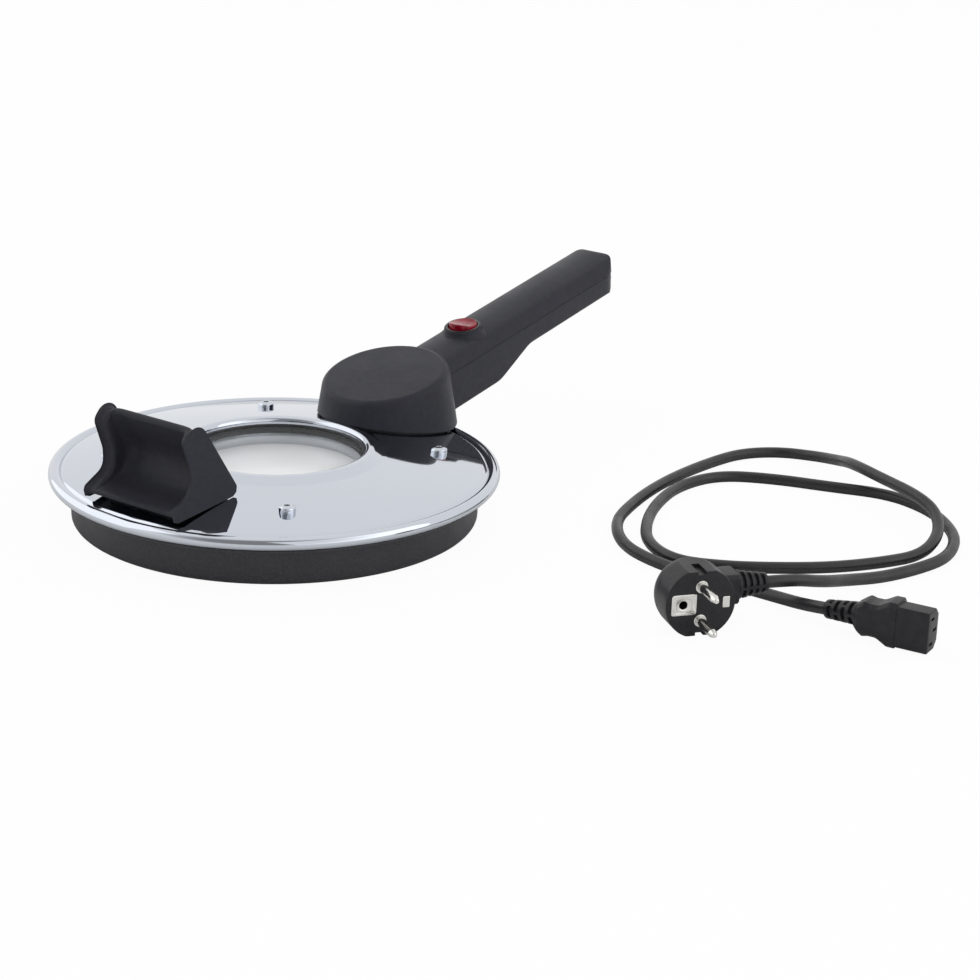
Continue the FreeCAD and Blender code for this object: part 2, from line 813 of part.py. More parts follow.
def grip_screws():
    return group(
        small_screw(x, y, grip_bottom_z(y) + SCREW_BITE) for x, y in grip_screw_places()
    )


# Pod and handle: an upper shell in one piece with the round pod, and a lower shell

def tilted_z(middle_z, degrees, y):
    """Height of a plane through the pod's axis that tilts along Y."""
    return middle_z + math.tan(math.radians(degrees)) * (y - POD_CENTRE)


def pod_base_z(y):
    return tilted_z(dome_z(POD_CENTRE) + POD_STANDOFF, -POD_BASE_TILT, y)


def pod_top_z(y):
    return tilted_z(POD_TOP_Z, POD_TOP_TILT, y)


def between(low, high, reach=60.0):
    """A block round the pod between two tilted planes."""
    back = POD_CENTRE - reach
    front = POD_CENTRE + reach
    outline = [(front, low(front)), (front, high(front)), (back, high(back))]
    return along_x(reach, (back, low(back)), outline)


def pod_solid(inset, round_top):
    """The pod's tapered drum, from its base plane to its tilted top."""
    draft = math.tan(math.radians(POD_DRAFT))
    low = pod_base_z(POD_CENTRE + POD_RADIUS) - 5.0
    high = pod_top_z(POD_CENTRE + POD_RADIUS) + 5.0
    base = POD_RADIUS - inset + draft * (pod_base_z(POD_CENTRE) - low)
    cone = Part.makeCone(base, base - draft * (high - low), high - low, V(0, POD_CENTRE, low))
    drum = cone.common(between(lambda y: pod_base_z(y) - (inset > 0), lambda y: pod_top_z(y) - inset))
    if round_top > 0:
        above = pod_base_z(POD_CENTRE - POD_RADIUS) + 4.0
        top_edges = [edge for edge in drum.Edges if edge.BoundBox.ZMin > above]
        drum = drum.makeFillet(round_top, top_edges)
    return drum


def handle_point(x, along, up):
    """A point in the handle's frame: along it from the pod's axis, and up from the parting."""
    rise = math.radians(HANDLE_RISE)
    y = POD_CENTRE + along * math.cos(rise) - up * math.sin(rise)
    z = PARTING_Z + along * math.sin(rise) + up * math.cos(rise)
    return V(x, y, z)


def handle_shape(shape):
    """Move a shape from the handle's own frame, with Y along it and Z up, to its place."""
    shape = shape.copy()
    shape.rotate(V(0, 0, 0), X_AXIS, HANDLE_RISE)
    shape.translate(V(0, POD_CENTRE, PARTING_Z))
    return shape


def handle_outline(half_width, length, corner, z):
    """The handle's outline from above, with rounded end corners, as a face."""
    cut = corner * (1 - math.sqrt(0.5))
    steps = [
        (half_width, length - corner),
        ((half_width - cut, length - cut), (half_width - corner, length)),
        (corner - half_width, length),
        ((cut - half_width, length - cut), (-half_width, length - corner)),
        (-half_width, 0.0),
    ]
    return face(lambda x, y: V(x, y, z), (half_width, 0.0), steps)


def handle_upper(inset):
    """Crowned upper half of the handle, in the handle's frame."""
    top = HANDLE_TOP_HALF - inset
    half = HANDLE_HALF_WIDTH - inset
    crown = HANDLE_CROWN - inset
    shoulder = HANDLE_SHOULDER - inset
    low = -1.0 if inset > 0 else 0.0
    steps = [
        (half, 0.0),
        (top, shoulder),
        ((0.0, crown), (-top, shoulder)),
        (-half, 0.0),
        (-half, low),
    ]
    section = face(lambda x, z: V(x, 0, z), (half, low), steps)
    bar = section.extrude(V(0, HANDLE_LENGTH - inset, 0))
    outline = handle_outline(half, HANDLE_LENGTH - inset, HANDLE_END_ROUND - inset, low)
    plan = outline.extrude(V(0, 0, crown + 5 - low))
    end = (HANDLE_LENGTH - inset, crown)
    side = along_x(half + 1, (0.0, low), [(end[0], low), end, (0.0, crown)])
    side = rounded_x(side, [end + (HANDLE_CROWN * 0.75,)])
    return bar.common(plan).common(side)


def handle_lower(inset):
    """Lower half of the handle with its deeper belly by the pod, in the handle's frame."""
    half = HANDLE_HALF_WIDTH - LOWER_STEP - inset
    grip = inset - GRIP_DEPTH
    belly = inset - BELLY_DEPTH
    end = HANDLE_LENGTH - inset
    low = -BELLY_DEPTH - 10
    high = 1.0 if inset > 0 else 0.0
    knee = (BELLY_END - inset, belly)
    hollow = (BELLY_END + BELLY_RUN_OUT - inset, grip)
    outline = [knee, hollow, (end, grip), (end, high), (20.0, high)]
    side = along_x(half + 1, (20.0, belly), outline)
    side = rounded_x(side, [knee + (BELLY_ROUND - inset,), hollow + (BELLY_ROUND + inset,)])
    corner = HANDLE_END_ROUND - inset
    lower = handle_outline(half - LOWER_TAPER, end, corner, low)
    upper = handle_outline(half - LOWER_TAPER * high / low, end, corner, high)
    return side.common(Part.makeLoft([lower.OuterWire, upper.OuterWire], True, True))


def inlet_block(grow, depth):
    """The inlet's outline, with its two lower corners cut, as a prism from the handle's end."""
    half = INLET_HALF_WIDTH + grow
    high = INLET_HALF_HEIGHT + grow
    corners = [
        (half, high),
        (half, INLET_CORNER - high),
        (half - INLET_CORNER, -high),
        (INLET_CORNER - half, -high),
        (-half, INLET_CORNER - high),
        (-half, high),
    ]
    middle = -INLET_DOWN
    points = [V(x, HANDLE_LENGTH - depth, middle + z) for x, z in corners]
    return Part.Face(Part.makePolygon(points + points[:1])).extrude(V(0, depth + 1, 0))


def collar():
    """Raised conical seat round the rocker switch, in the handle's frame."""
    low = HANDLE_SHOULDER - 4.0
    high = COLLAR_TOP - low
    return Part.makeCone(COLLAR_BASE_R + 1.5, COLLAR_TOP_R, high, V(0, SWITCH_AT, low))


def handle_bosses(low, high, margin):
    """Screw bosses along the handle's middle, in the handle's frame."""
    bosses = []
    for along in HANDLE_SCREWS:
        bosses.append(rod(BOSS_R + margin, low, high, 0, along))
    return group(bosses)


def handle_top_shell():
    """Upper shell: pod, collar and the crowned top of the handle, moulded in one piece."""
    bar = handle_upper(0.0)
    shoulders = [
        edge for edge in bar.Edges
        if edge.BoundBox.YLength > HANDLE_LENGTH / 2 and edge.BoundBox.ZMin > 1.0
    ]
    bar = bar.makeFillet(HANDLE_TOP_ROUND, shoulders)
    outer = pod_solid(0.0, POD_TOP_ROUND).fuse([handle_shape(bar), handle_shape(collar())])
    room = [pod_solid(SHELL_WALL, POD_TOP_ROUND - SHELL_WALL)]
    room.append(handle_shape(handle_upper(SHELL_WALL)))
    room.append(handle_shape(handle_lower(SHELL_WALL)).common(pod_reach()))
    shell = outer.cut(room)
    top_skin = outer.common(handle_shape(handle_bosses(0.0, HANDLE_CROWN - 1.0, 0.0)))
    inside = between(pod_base_z, lambda y: pod_top_z(y) - 1.0)
    pod_bosses = [rod(BOSS_R, 0, 100, x, y).common(inside) for x, y in pod_screw_places()]
    shell = shell.fuse([top_skin] + pod_bosses)
    cuts = [
        handle_shape(rod(SWITCH_BODY_R, -2, COLLAR_TOP + 2, 0, SWITCH_AT)),
        handle_shape(inlet_block(0.0, INLET_DEPTH)),
    ]
    for along in HANDLE_SCREWS:
        cuts.append(handle_shape(rod(SMALL_SCREW_R, -1, SCREW_BITE + 2, 0, along)))
    for x, y in pod_screw_places():
        cuts.append(rod(SMALL_SCREW_R, 0, pod_base_z(y) + SCREW_BITE + 2, x, y))
    return largest(shell.cut(cuts))


def largest(shape):
    """The biggest solid of a shape, without the crumbs that a cut may leave."""
    return max(shape.Solids, key=lambda solid: solid.Volume)


def pod_reach():
    """A cylinder just larger than the pod."""
    return rod(POD_RADIUS + 2.0, 0, 200, 0, POD_CENTRE)


def lower_depth(along):
    """Depth of the lower shell below the parting at a place along the handle."""
    return BELLY_DEPTH if along < BELLY_END else GRIP_DEPTH


def handle_bottom_shell():
    """Lower shell of the handle, closed against the pod's wall."""
    outer = handle_lower(0.0)
    edges = [
        edge for edge in outer.Edges
        if edge.BoundBox.ZMax < 1.0 - GRIP_DEPTH and edge.BoundBox.YLength > 1.0
    ]
    edges += [
        edge for edge in outer.Edges
        if edge.BoundBox.ZMax < 1.0 - GRIP_DEPTH and edge.BoundBox.YMin > HANDLE_LENGTH - 1.0
    ]
    shell = outer.makeFillet(LOWER_ROUND, edges).cut(handle_lower(SHELL_WALL))
    bosses = []
    cuts = []
    for along in HANDLE_SCREWS:
        depth = lower_depth(along)
        bosses.append(rod(BOSS_R, -depth + 0.5, 0.0, 0, along))
        cuts.append(rod(SMALL_SCREW_R, -depth - 1, 1, 0, along))
        cuts.append(rod(SMALL_HEAD_R + 0.1, -depth - 1, SMALL_HEAD - depth, 0, along))
    cuts.append(inlet_block(0.0, INLET_DEPTH))
    shell = handle_shape(shell.fuse(bosses).cut(cuts))
    return largest(shell.cut(pod_solid_tall()))


def pod_solid_tall():
    """The pod's cone carried on below its base, which the lower shell meets."""
    draft = math.tan(math.radians(POD_DRAFT))
    low = pod_base_z(POD_CENTRE) - 30.0
    height = 80.0
    base = POD_RADIUS + draft * 30.0
    return Part.makeCone(base, base - draft * height, height, V(0, POD_CENTRE, low))


def handle_screws():
    """Screws that close the two shells, from below."""
    screws = []
    for along in HANDLE_SCREWS:
        depth = lower_depth(along)
        head = rod(SMALL_HEAD_R, 0.2 - depth, SMALL_HEAD - depth, 0, along)
        shank = rod(SMALL_SCREW_R, 0.2 - depth, SCREW_BITE, 0, along)
        screws.append(handle_shape(fused([head, shank])))
    return group(screws)


def pod_screws():
    return group(
        small_screw(x, y, pod_base_z(y) + SCREW_BITE) for x, y in pod_screw_places()
    )


def pod_base_plate():
    """Heat-proof plate that closes the pod's underside and beds on the dome."""
    radius = POD_RADIUS - POD_PLATE_INSET
    disc = rod(radius, 0, 100, 0, POD_CENTRE)
    plate = disc.common(between(lambda y: pod_base_z(y) - POD_PLATE, pod_base_z))
    bed = disc.common(rod(DOME_EDGE - 3.0, 0, 100))
    bed = bed.common(between(lambda y: 0.0, pod_base_z))
    cuts = [rod(CUTOUT_R + 0.2, 0, 100, *cutout_place())]
    for x, y in element_ends():
        cuts.append(rod(TERMINAL_R + 1.0, 0, 100, x, y))
    for x, y in pod_screw_places():
        cuts.append(rod(SMALL_SCREW_R, 0, 100, x, y))
    return above_dome(plate.fuse(bed).removeSplitter()).cut(cuts)


# What the pod holds

def terminal_top():
    return pod_base_z(element_ends()[0][1]) + BLOCK_HEIGHT


def cutout_place():
    return CUTOUT_AT[0], POD_CENTRE + CUTOUT_AT[1]


def thermal_cutout():
    """Bimetal disc cut-out that sits on the lid sheet inside the pod."""
    x, y = cutout_place()
    seat = dome_z(y)
    can = rod(CUTOUT_R, seat - 2, seat + CUTOUT_HEIGHT, x, y)
    tags = [
        block((side * 4.0 - 2.0, y - 0.4, seat + CUTOUT_HEIGHT), (side * 4.0 + 2.0, y + 0.4,
              seat + CUTOUT_HEIGHT + 6.0))
        for side in (-1, 1)
    ]
    return fused([above_dome(can)] + tags)


def terminal_block():
    """Ceramic block that takes the element's two ends."""
    y = element_ends()[0][1]
    body = block((-BLOCK_HALF, y - BLOCK_DEPTH / 2, 0), (BLOCK_HALF, y + BLOCK_DEPTH / 2,
                 terminal_top()))
    body = body.common(between(pod_base_z, lambda at: terminal_top()))
    slot = block((-BLOCK_HALF + 8, y - BLOCK_DEPTH, terminal_top() - 5), (BLOCK_HALF - 8,
                 y + BLOCK_DEPTH, 100))
    cuts = [rod(TERMINAL_R, 0, terminal_top() - 3.0, x, end_y) for x, end_y in element_ends()]
    cuts += [rod(BOSS_R + 0.3, 0, 100, x, screw_y) for x, screw_y in pod_screw_places()]
    return largest(body.cut([slot] + cuts))


# Rocker switch, in the handle's frame until it is placed

def pivot_up():
    return COLLAR_TOP - PIVOT_DROP


def switch_body():
    """Round switch housing with its bezel and three terminals."""
    top = COLLAR_TOP + BEZEL_THICKNESS
    low = COLLAR_TOP - SWITCH_DEPTH
    body = rod(SWITCH_BODY_R, low, top, 0, SWITCH_AT)
    bezel = rod(BEZEL_R, COLLAR_TOP, top, 0, SWITCH_AT)
    bezel = bezel.makeChamfer(0.4, [edge for edge in bezel.Edges if edge.BoundBox.ZMin > top - 0.1])
    floor = pivot_up() - ROCKER_BELOW - LAMP_LENGTH - 1.6
    well = rod(ROCKER_R + ROCKER_CLEARANCE, floor, top + 1, 0, SWITCH_AT)
    pin = Part.makeCylinder(
        ROCKER_PIN_R, 2 * SWITCH_BODY_R, V(-SWITCH_BODY_R, SWITCH_AT, pivot_up()), X_AXIS
    )
    blades = [
        block((-2.4, SWITCH_AT + at - 0.4, low - 7.0), (2.4, SWITCH_AT + at + 0.4, low + 1.0))
        for at in (-6.0, 0.0, 6.0)
    ]
    return handle_shape(fused([body.fuse(bezel).cut([well, pin])] + blades))


def rocker():
    """Red translucent cap with a dished top, resting with its rear side pressed."""
    pivot = V(0, SWITCH_AT, pivot_up())
    cap = rod(ROCKER_R, pivot_up() - ROCKER_BELOW, pivot_up() + ROCKER_ABOVE, 0, SWITCH_AT)
    rims = [edge for edge in cap.Edges if edge.BoundBox.ZLength < 1e-6]
    cap = cap.makeFillet(0.5, rims)
    dish_low = pivot_up() + ROCKER_ABOVE - 1.5
    dish = Part.makeCylinder(
        ROCKER_DISH_R, 40, V(-20, SWITCH_AT, dish_low + ROCKER_DISH_R), X_AXIS
    )
    bore = Part.makeCylinder(ROCKER_PIN_R + ROCKER_PIN_GAP, 40, V(-20, SWITCH_AT, pivot_up()), X_AXIS)
    cap = cap.cut([dish, bore])
    cap.rotate(pivot, X_AXIS, -ROCKER_TILT)
    return handle_shape(cap)


def rocker_pin():
    length = 2 * (SWITCH_BODY_R - 0.05)
    start = V(-length / 2, SWITCH_AT, pivot_up())
    return handle_shape(Part.makeCylinder(ROCKER_PIN_R, length, start, X_AXIS))


def indicator_lamp():
    """Small neon lamp under the cap."""
    floor = pivot_up() - ROCKER_BELOW - LAMP_LENGTH - 1.6
    bulb = rod(LAMP_R, floor, floor + LAMP_LENGTH - LAMP_R, 0, SWITCH_AT)
    tip = Part.makeSphere(LAMP_R, V(0, SWITCH_AT, floor + LAMP_LENGTH - LAMP_R))
    return handle_shape(fused([bulb, tip]))


# Mains inlet

def inlet_body():
    """Three-pole inlet moulding, set back inside the handle's rounded end."""
    outer = inlet_block(0.0, INLET_DEPTH)
    face_at = HANDLE_LENGTH - INLET_RECESS
    outer = outer.cut(block((-50, face_at, -50), (50, HANDLE_LENGTH + 5, 50)))
    cavity = inlet_block(-INLET_WALL, INLET_CAVITY)
    return handle_shape(outer.cut([cavity] + [pin_shape(x, z) for x, z in inlet_pin_places()]))


def inlet_pin_places():
    middle = -INLET_DOWN
    return [
        (-INLET_PIN_PITCH, middle - INLET_PIN_OFFSET),
        (INLET_PIN_PITCH, middle - INLET_PIN_OFFSET),
        (0.0, middle + INLET_PIN_OFFSET + 1.0),
    ]


def pin_shape(x, z):
    """One flat contact blade through the back of the inlet."""
    wide, tall = INLET_PIN
    back = HANDLE_LENGTH - INLET_DEPTH - INLET_TAIL
    front = HANDLE_LENGTH - INLET_CAVITY + INLET_PIN_LENGTH
    return block((x - wide / 2, back, z - tall / 2), (x + wide / 2, front, z + tall / 2))


def inlet_pins():
    return handle_shape(group(pin_shape(x, z) for x, z in inlet_pin_places()))


def wire_run(points):
    """An insulated wire through points of the handle's frame."""
    path = [tuple(handle_point(*point)) for point in points]
    return tube(path, WIRE_R)[0]


def switch_low():
    return COLLAR_TOP - SWITCH_DEPTH - 7.0


def inner_wires():
    """Three wires that join the inlet, switch, cut-out and element."""
    back = HANDLE_LENGTH - INLET_DEPTH - INLET_TAIL
    side = BOSS_R + WIRE_R + 3.0
    low = -INLET_DOWN - INLET_PIN_OFFSET
    deep = switch_low() - WIRE_R
    live = [(INLET_PIN_PITCH, back, low), (side, back - 20, low), (side, 130, low),
            (side, 105, deep + 3), (0.0, SWITCH_AT + 6.0, deep)]
    return_wire = [(0.0, SWITCH_AT - 6.0, deep), (side, 66, deep), (side, 40, 0.0),
                   (4.0, 18, 4.0)]
    neutral = [(-INLET_PIN_PITCH, back, low), (-side, back - 20, low), (-side, 130, low),
               (-side, 105, deep), (-side, 60, deep), (-side - 4.0, 25, 0.0), (-20.0, -4, 4.0)]
    return group(wire_run(points) for points in (live, return_wire, neutral))


# Loose mains lead

def lead_shape(shape, place, turn):
    """Move a shape from its own frame to its place on the table."""
    shape = shape.copy()
    shape.rotate(V(0, 0, 0), Z_AXIS, turn)
    shape.translate(V(*place))
    return shape


def ribbed_relief(length, start_r, end_r, ribs):
    """Tapered strain relief along +X from the origin, with grooves between its ribs."""
    pitch = length / (ribs + 0.6)
    groove = 0.42 * pitch

    def radius(x):
        return start_r + (end_r - start_r) * x / length

    start = (0.0, 0.0)
    steps = [(0.0, radius(0.0))]
    for k in range(ribs):
        begin = (k + 0.6) * pitch
        finish = begin + groove
        steps += [(begin, radius(begin)), (begin, radius(begin) - 1.6)]
        steps += [(finish, radius(finish) - 1.6), (finish, radius(finish))]
    steps += [(length, radius(length)), (length, 0.0)]
    profile = face(lambda x, r: V(x, 0, r), start, steps)
    return profile.revolve(V(0, 0, 0), X_AXIS, 360)


def plug_outline():
    """The plug's drum with a rounded back and flats above and below."""
    across = PLUG_R - PLUG_BACK_R
    deep = PLUG_BACK - PLUG_DEPTH
    bend = (across ** 2 + deep ** 2) / (2 * across)
    turn = math.atan2(deep, bend - across) / 2
    bulge = (PLUG_R - bend * (1 - math.cos(turn)), PLUG_DEPTH + bend * math.sin(turn))
    steps = [
        (PLUG_R, 0.0),
        (PLUG_R, PLUG_DEPTH),
        (bulge, (PLUG_BACK_R, PLUG_BACK)),
        (0.0, PLUG_BACK),
    ]
    profile = face(lambda radius, y: V(radius, y, 0), (0.0, 0.0), steps)
    drum = profile.revolve(V(0, 0, 0), V(0, 1, 0), 360)
    slab = block((-PLUG_R, 0, -PLUG_FLAT), (PLUG_R, PLUG_BACK, PLUG_FLAT))
    return drum.common(slab)


def plug_body():
    """Round angled plug standing on its edge, with a neck for the cord and two side grooves."""
    half = PLUG_NECK_HALF
    neck = block((0, PLUG_AXIS_BACK - half, -half), (PLUG_NECK_END, PLUG_AXIS_BACK + half, half))
    long_edges = [edge for edge in neck.Edges if edge.BoundBox.XLength > 1.0]
    neck = neck.makeFillet(2.0, long_edges)
    body = fused([plug_outline(), neck])
    width, depth, reach = PLUG_GROOVE
    cuts = [block((EARTH_TAB_X - EARTH_TAB[0] / 2, -1, -EARTH_TAB[1] / 2),
                  (EARTH_TAB_X + EARTH_TAB[0] / 2, EARTH_TAB[2], EARTH_TAB[1] / 2))]
    for side in (-1, 1):
        middle = side * PLUG_FLAT
        cuts.append(block((-width / 2, -1, middle - depth), (width / 2, reach, middle + depth)))
    cuts.append(Part.makeCylinder(EARTH_HOLE_R, EARTH_HOLE_DEPTH, V(-EARTH_HOLE_X, 0, 0), V(0, 1, 0)))
    root_r, root = PLUG_PIN_ROOT
    for side in (-1, 1):
        seat = V(0, 0, side * PLUG_PIN_PITCH)
        cuts.append(Part.makeCylinder(root_r, root, seat, V(0, 1, 0)))
    return lead_shape(body.cut(cuts), PLUG_FACE, PLUG_TURN)


def plug_pins():
    """Two round pins with a bullet tip and a thinner root moulded into the plug."""
    pins = []
    root_r, root = PLUG_PIN_ROOT
    tip_y = PLUG_PIN_R - PLUG_PIN_LENGTH
    for side in (-1, 1):
        z = side * PLUG_PIN_PITCH
        shank = Part.makeCylinder(PLUG_PIN_R, -tip_y, V(0, tip_y, z), V(0, 1, 0))
        inside = Part.makeCylinder(root_r, root + 1.0, V(0, -1.0, z), V(0, 1, 0))
        tip = Part.makeSphere(PLUG_PIN_R, V(0, tip_y, z))
        pins.append(lead_shape(fused([shank, inside, tip]), PLUG_FACE, PLUG_TURN))
    return group(pins)


def plug_earth_contacts():
    """Square earth plate round the hole in the face, and a tab on the other side of the pins."""
    wide, tall, thick = EARTH_PLATE
    plate = block((EARTH_PLATE_X - wide / 2, -thick, -tall / 2), (EARTH_PLATE_X + wide / 2, 0, tall / 2))
    plate = plate.cut(Part.makeCylinder(EARTH_HOLE_R, 3, V(-EARTH_HOLE_X, -2, 0), V(0, 1, 0)))
    tab_wide, tab_tall, tab_deep = EARTH_TAB
    tab = block((EARTH_TAB_X - tab_wide / 2, -thick, -tab_tall / 2),
                (EARTH_TAB_X + tab_wide / 2, tab_deep, tab_tall / 2))
    return group(lead_shape(contact, PLUG_FACE, PLUG_TURN) for contact in (plate, tab))


def plug_relief():
    relief = ribbed_relief(RELIEF_LENGTH, RELIEF_START_R, RELIEF_END_R, RELIEF_RIBS)
    relief.translate(V(PLUG_NECK_END, PLUG_AXIS_BACK, 0))
    return lead_shape(relief, PLUG_FACE, PLUG_TURN)


def lead_point(place, turn, x, y, z):
    """A point of a lead piece's own frame, on the table."""
    across, along = math.cos(math.radians(turn)), math.sin(math.radians(turn))
    return (place[0] + x * across - y * along, place[1] + x * along + y * across, place[2] + z)


def socket_start():
    """Distance from the connector's end face back to where its strain relief starts."""
    return SOCKET_NOSE[2] + SOCKET_GRIP[2] + SOCKET_SHOULDER


def socket_body():
    """Appliance connector lying on its narrow side: nose, waisted grip and shoulder."""
    high, deep, nose = SOCKET_NOSE
    outline = [
        (-nose, -deep, -high), (-nose, deep - SOCKET_BEVEL, -high), (-nose, deep, SOCKET_BEVEL - high),
        (-nose, deep, high - SOCKET_BEVEL), (-nose, deep - SOCKET_BEVEL, high), (-nose, -deep, high),
    ]
    points = [V(*point) for point in outline]
    tip = Part.Face(Part.makePolygon(points + points[:1])).extrude(V(nose, 0, 0))
    tip = tip.makeFillet(1.2, [edge for edge in tip.Edges if edge.BoundBox.XLength > nose / 2])
    grip_high, grip_deep, grip = SOCKET_GRIP
    start = -nose - grip
    half = [
        (-nose, grip_high), (-nose - 0.25 * grip, grip_high), (-nose - 0.68 * grip, grip_high - 3.6),
        (start + 0.12 * grip, grip_high - 2.4), (start - 1.0, grip_high - 3.0),
        (start - SOCKET_SHOULDER, SOCKET_RELIEF_R),
    ]
    ring_points = half + [(x, -z) for x, z in reversed(half)]
    points = [V(x, -grip_deep, z) for x, z in ring_points]
    body = Part.Face(Part.makePolygon(points + points[:1])).extrude(V(0, 2 * grip_deep, 0))
    edges = [edge for edge in body.Edges if edge.BoundBox.YLength < 1e-3]
    edges = [edge for edge in edges if edge.BoundBox.XLength > 1e-3]
    body = body.makeChamfer(2.2, edges)
    cuts = []
    wide, thick, long = SOCKET_SLOT
    for y, z in socket_slot_places():
        cuts.append(block((-long, y - wide / 2, z - thick / 2), (1, y + wide / 2, z + thick / 2)))
    return lead_shape(fused([tip, body]).cut(cuts), SOCKET_END, SOCKET_TURN)


def socket_slot_places():
    return [(-2.0, -7.0), (-2.0, 7.0), (2.0, 0.0)]


def socket_contacts():
    """Three sprung contacts at the bottom of the slots."""
    wide, thick, long = SOCKET_SLOT
    contacts = []
    for y, z in socket_slot_places():
        strip = block((-long, y - wide / 2, z - thick / 2), (-long + 3, y + wide / 2, z + thick / 2))
        contacts.append(lead_shape(strip, SOCKET_END, SOCKET_TURN))
    return group(contacts)


def socket_relief():
    """Strain relief that droops and swings a little out of line with the connector."""
    relief = ribbed_relief(SOCKET_RELIEF, SOCKET_RELIEF_R, RELIEF_END_R, RELIEF_RIBS - 1)
    root = Part.makeCylinder(SOCKET_RELIEF_R, RELIEF_ROOT, V(-RELIEF_ROOT, 0, 0), X_AXIS)
    relief = fused([relief, root])
    relief.rotate(V(0, 0, 0), V(0, 1, 0), SOCKET_RELIEF_DROP)
    relief.rotate(V(0, 0, 0), Z_AXIS, 180 - SOCKET_RELIEF_SIDE)
    relief.translate(V(-socket_start(), 0, 0))
    return lead_shape(relief, SOCKET_END, SOCKET_TURN).cut(socket_body())


def socket_relief_point(distance):
    """A point on the drooping relief's axis, a distance from its start."""
    side = math.radians(SOCKET_RELIEF_SIDE)
    drop = math.radians(SOCKET_RELIEF_DROP)
    x = -socket_start() - distance * math.cos(drop) * math.cos(side)
    y = distance * math.cos(drop) * math.sin(side)
    return lead_point(SOCKET_END, SOCKET_TURN, x, y, -distance * math.sin(drop))


def cord_points():
    """The route with the two ends that the strain reliefs set."""
    plug_out = PLUG_NECK_END + RELIEF_LENGTH
    first = lead_point(PLUG_FACE, PLUG_TURN, plug_out, PLUG_AXIS_BACK, 0)
    second = socket_relief_point(SOCKET_RELIEF + 15.0)
    last = socket_relief_point(SOCKET_RELIEF)
    return [first] + CORD_ROUTE + [second, last]


def mains_cord():
    """The lead from strain relief to strain relief, lying in two loose loops."""
    points = cord_points()
    solid, path, radii = tube(points, CORD_R)
    length = path.Length
    expected = math.pi * CORD_R ** 2 * length
    samples = path.discretize(Distance=2.5)
    nearest = 1e9
    for i, here in enumerate(samples):
        for there in samples[i + 16:]:
            nearest = min(nearest, here.distanceToPoint(there))
    print("cord length", round(length, 1), "volume ratio", round(solid.Volume / expected, 5))
    print("cord radii", [round(radius) for radius in radii])
    print("cord least gap to itself", round(nearest - 2 * CORD_R, 2))
    runs = [math.dist(a, b) for a, b in zip(points, points[1:])]
    print("cord runs", [round(run) for run in runs])
    return solid


BUILDERS = [
    pan_shell, lid_shell, window_glass, window_gasket, window_retainer, window_pane,
    element_cover, heating_element, element_clips, insulation_ring, reflector_ring, lid_screws,
    lid_spacers, lid_nuts, front_grip, grip_pad, grip_screws, handle_top_shell,
    handle_bottom_shell, handle_screws, pod_base_plate, pod_screws, thermal_cutout,
    terminal_block, switch_body, rocker, rocker_pin, indicator_lamp, inlet_body, inlet_pins,
    inner_wires, mains_cord, plug_body, plug_pins, plug_earth_contacts, plug_relief, socket_body,
    socket_contacts, socket_relief,
]

os.makedirs("parts", exist_ok=True)
for builder in BUILDERS:
    shape = builder()
    box = shape.BoundBox
    print(
        builder.__name__, "valid" if shape.isValid() else "INVALID", len(shape.Solids), "solids",
        round(shape.Volume / 1000, 2), "cm3",
        [round(v, 1) for v in (box.XMin, box.XMax, box.YMin, box.YMax, box.ZMin, box.ZMax)],
    )
    shape.exportStep("parts/" + builder.__name__ + ".step")
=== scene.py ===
import bmesh
import bpy
import numpy as np
from mathutils import Matrix, Vector


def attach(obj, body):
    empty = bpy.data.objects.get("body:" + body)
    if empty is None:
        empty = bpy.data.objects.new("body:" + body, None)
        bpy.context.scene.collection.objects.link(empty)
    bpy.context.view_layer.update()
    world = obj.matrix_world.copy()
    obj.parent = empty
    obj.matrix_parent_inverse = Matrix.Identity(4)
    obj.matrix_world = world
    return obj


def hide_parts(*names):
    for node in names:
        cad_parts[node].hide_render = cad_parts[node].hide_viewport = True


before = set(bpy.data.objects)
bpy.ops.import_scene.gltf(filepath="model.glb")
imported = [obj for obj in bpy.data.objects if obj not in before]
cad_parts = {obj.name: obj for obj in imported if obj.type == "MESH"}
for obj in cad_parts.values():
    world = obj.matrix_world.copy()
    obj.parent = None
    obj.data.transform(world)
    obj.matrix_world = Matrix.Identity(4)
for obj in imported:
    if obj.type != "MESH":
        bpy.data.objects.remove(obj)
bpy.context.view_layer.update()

# Pan: a flat round pan pressed from aluminium sheet, with a small bottom corner and a turned-out
# flange that the lid stands on. Its matt black coating is sprayed on, so it is finely grained.

MM, SAME_POINT, NO_LENGTH = 0.001, 2e-6, 1e-6


def rounded(corners, radii, steps=6):
    """Outlines of polygons whose corners are arcs. An arc of radius r touches both sides at
    r / tan(half the corner's angle) from the corner, and its points are the two touching
    directions mixed by equal turns about the arc's centre."""
    corner = np.asarray(corners, float)
    radius = np.broadcast_to(np.asarray(radii, float), corner.shape[:-1])[..., None]
    back = np.roll(corner, 1, axis=-2) - corner
    ahead = np.roll(corner, -1, axis=-2) - corner
    back = back / np.linalg.norm(back, axis=-1, keepdims=True)
    ahead = ahead / np.linalg.norm(ahead, axis=-1, keepdims=True)
    half = np.arccos(np.clip((back * ahead).sum(-1, keepdims=True), -1, 1)) / 2
    middle = back + ahead
    middle /= np.maximum(np.linalg.norm(middle, axis=-1, keepdims=True), 1e-9)
    centre = corner + middle * radius / np.sin(half)
    first = (corner + back * radius / np.tan(half) - centre)[..., None, :]
    last = (corner + ahead * radius / np.tan(half) - centre)[..., None, :]
    turn = np.maximum(np.pi - 2 * half, 1e-6)[..., None]
    share = np.linspace(0, 1, steps)[:, None]
    arc = (np.sin((1 - share) * turn) * first + np.sin(share * turn) * last) / np.sin(turn)
    return (centre[..., None, :] + arc).reshape(corner.shape[:-2] + (-1, 2))


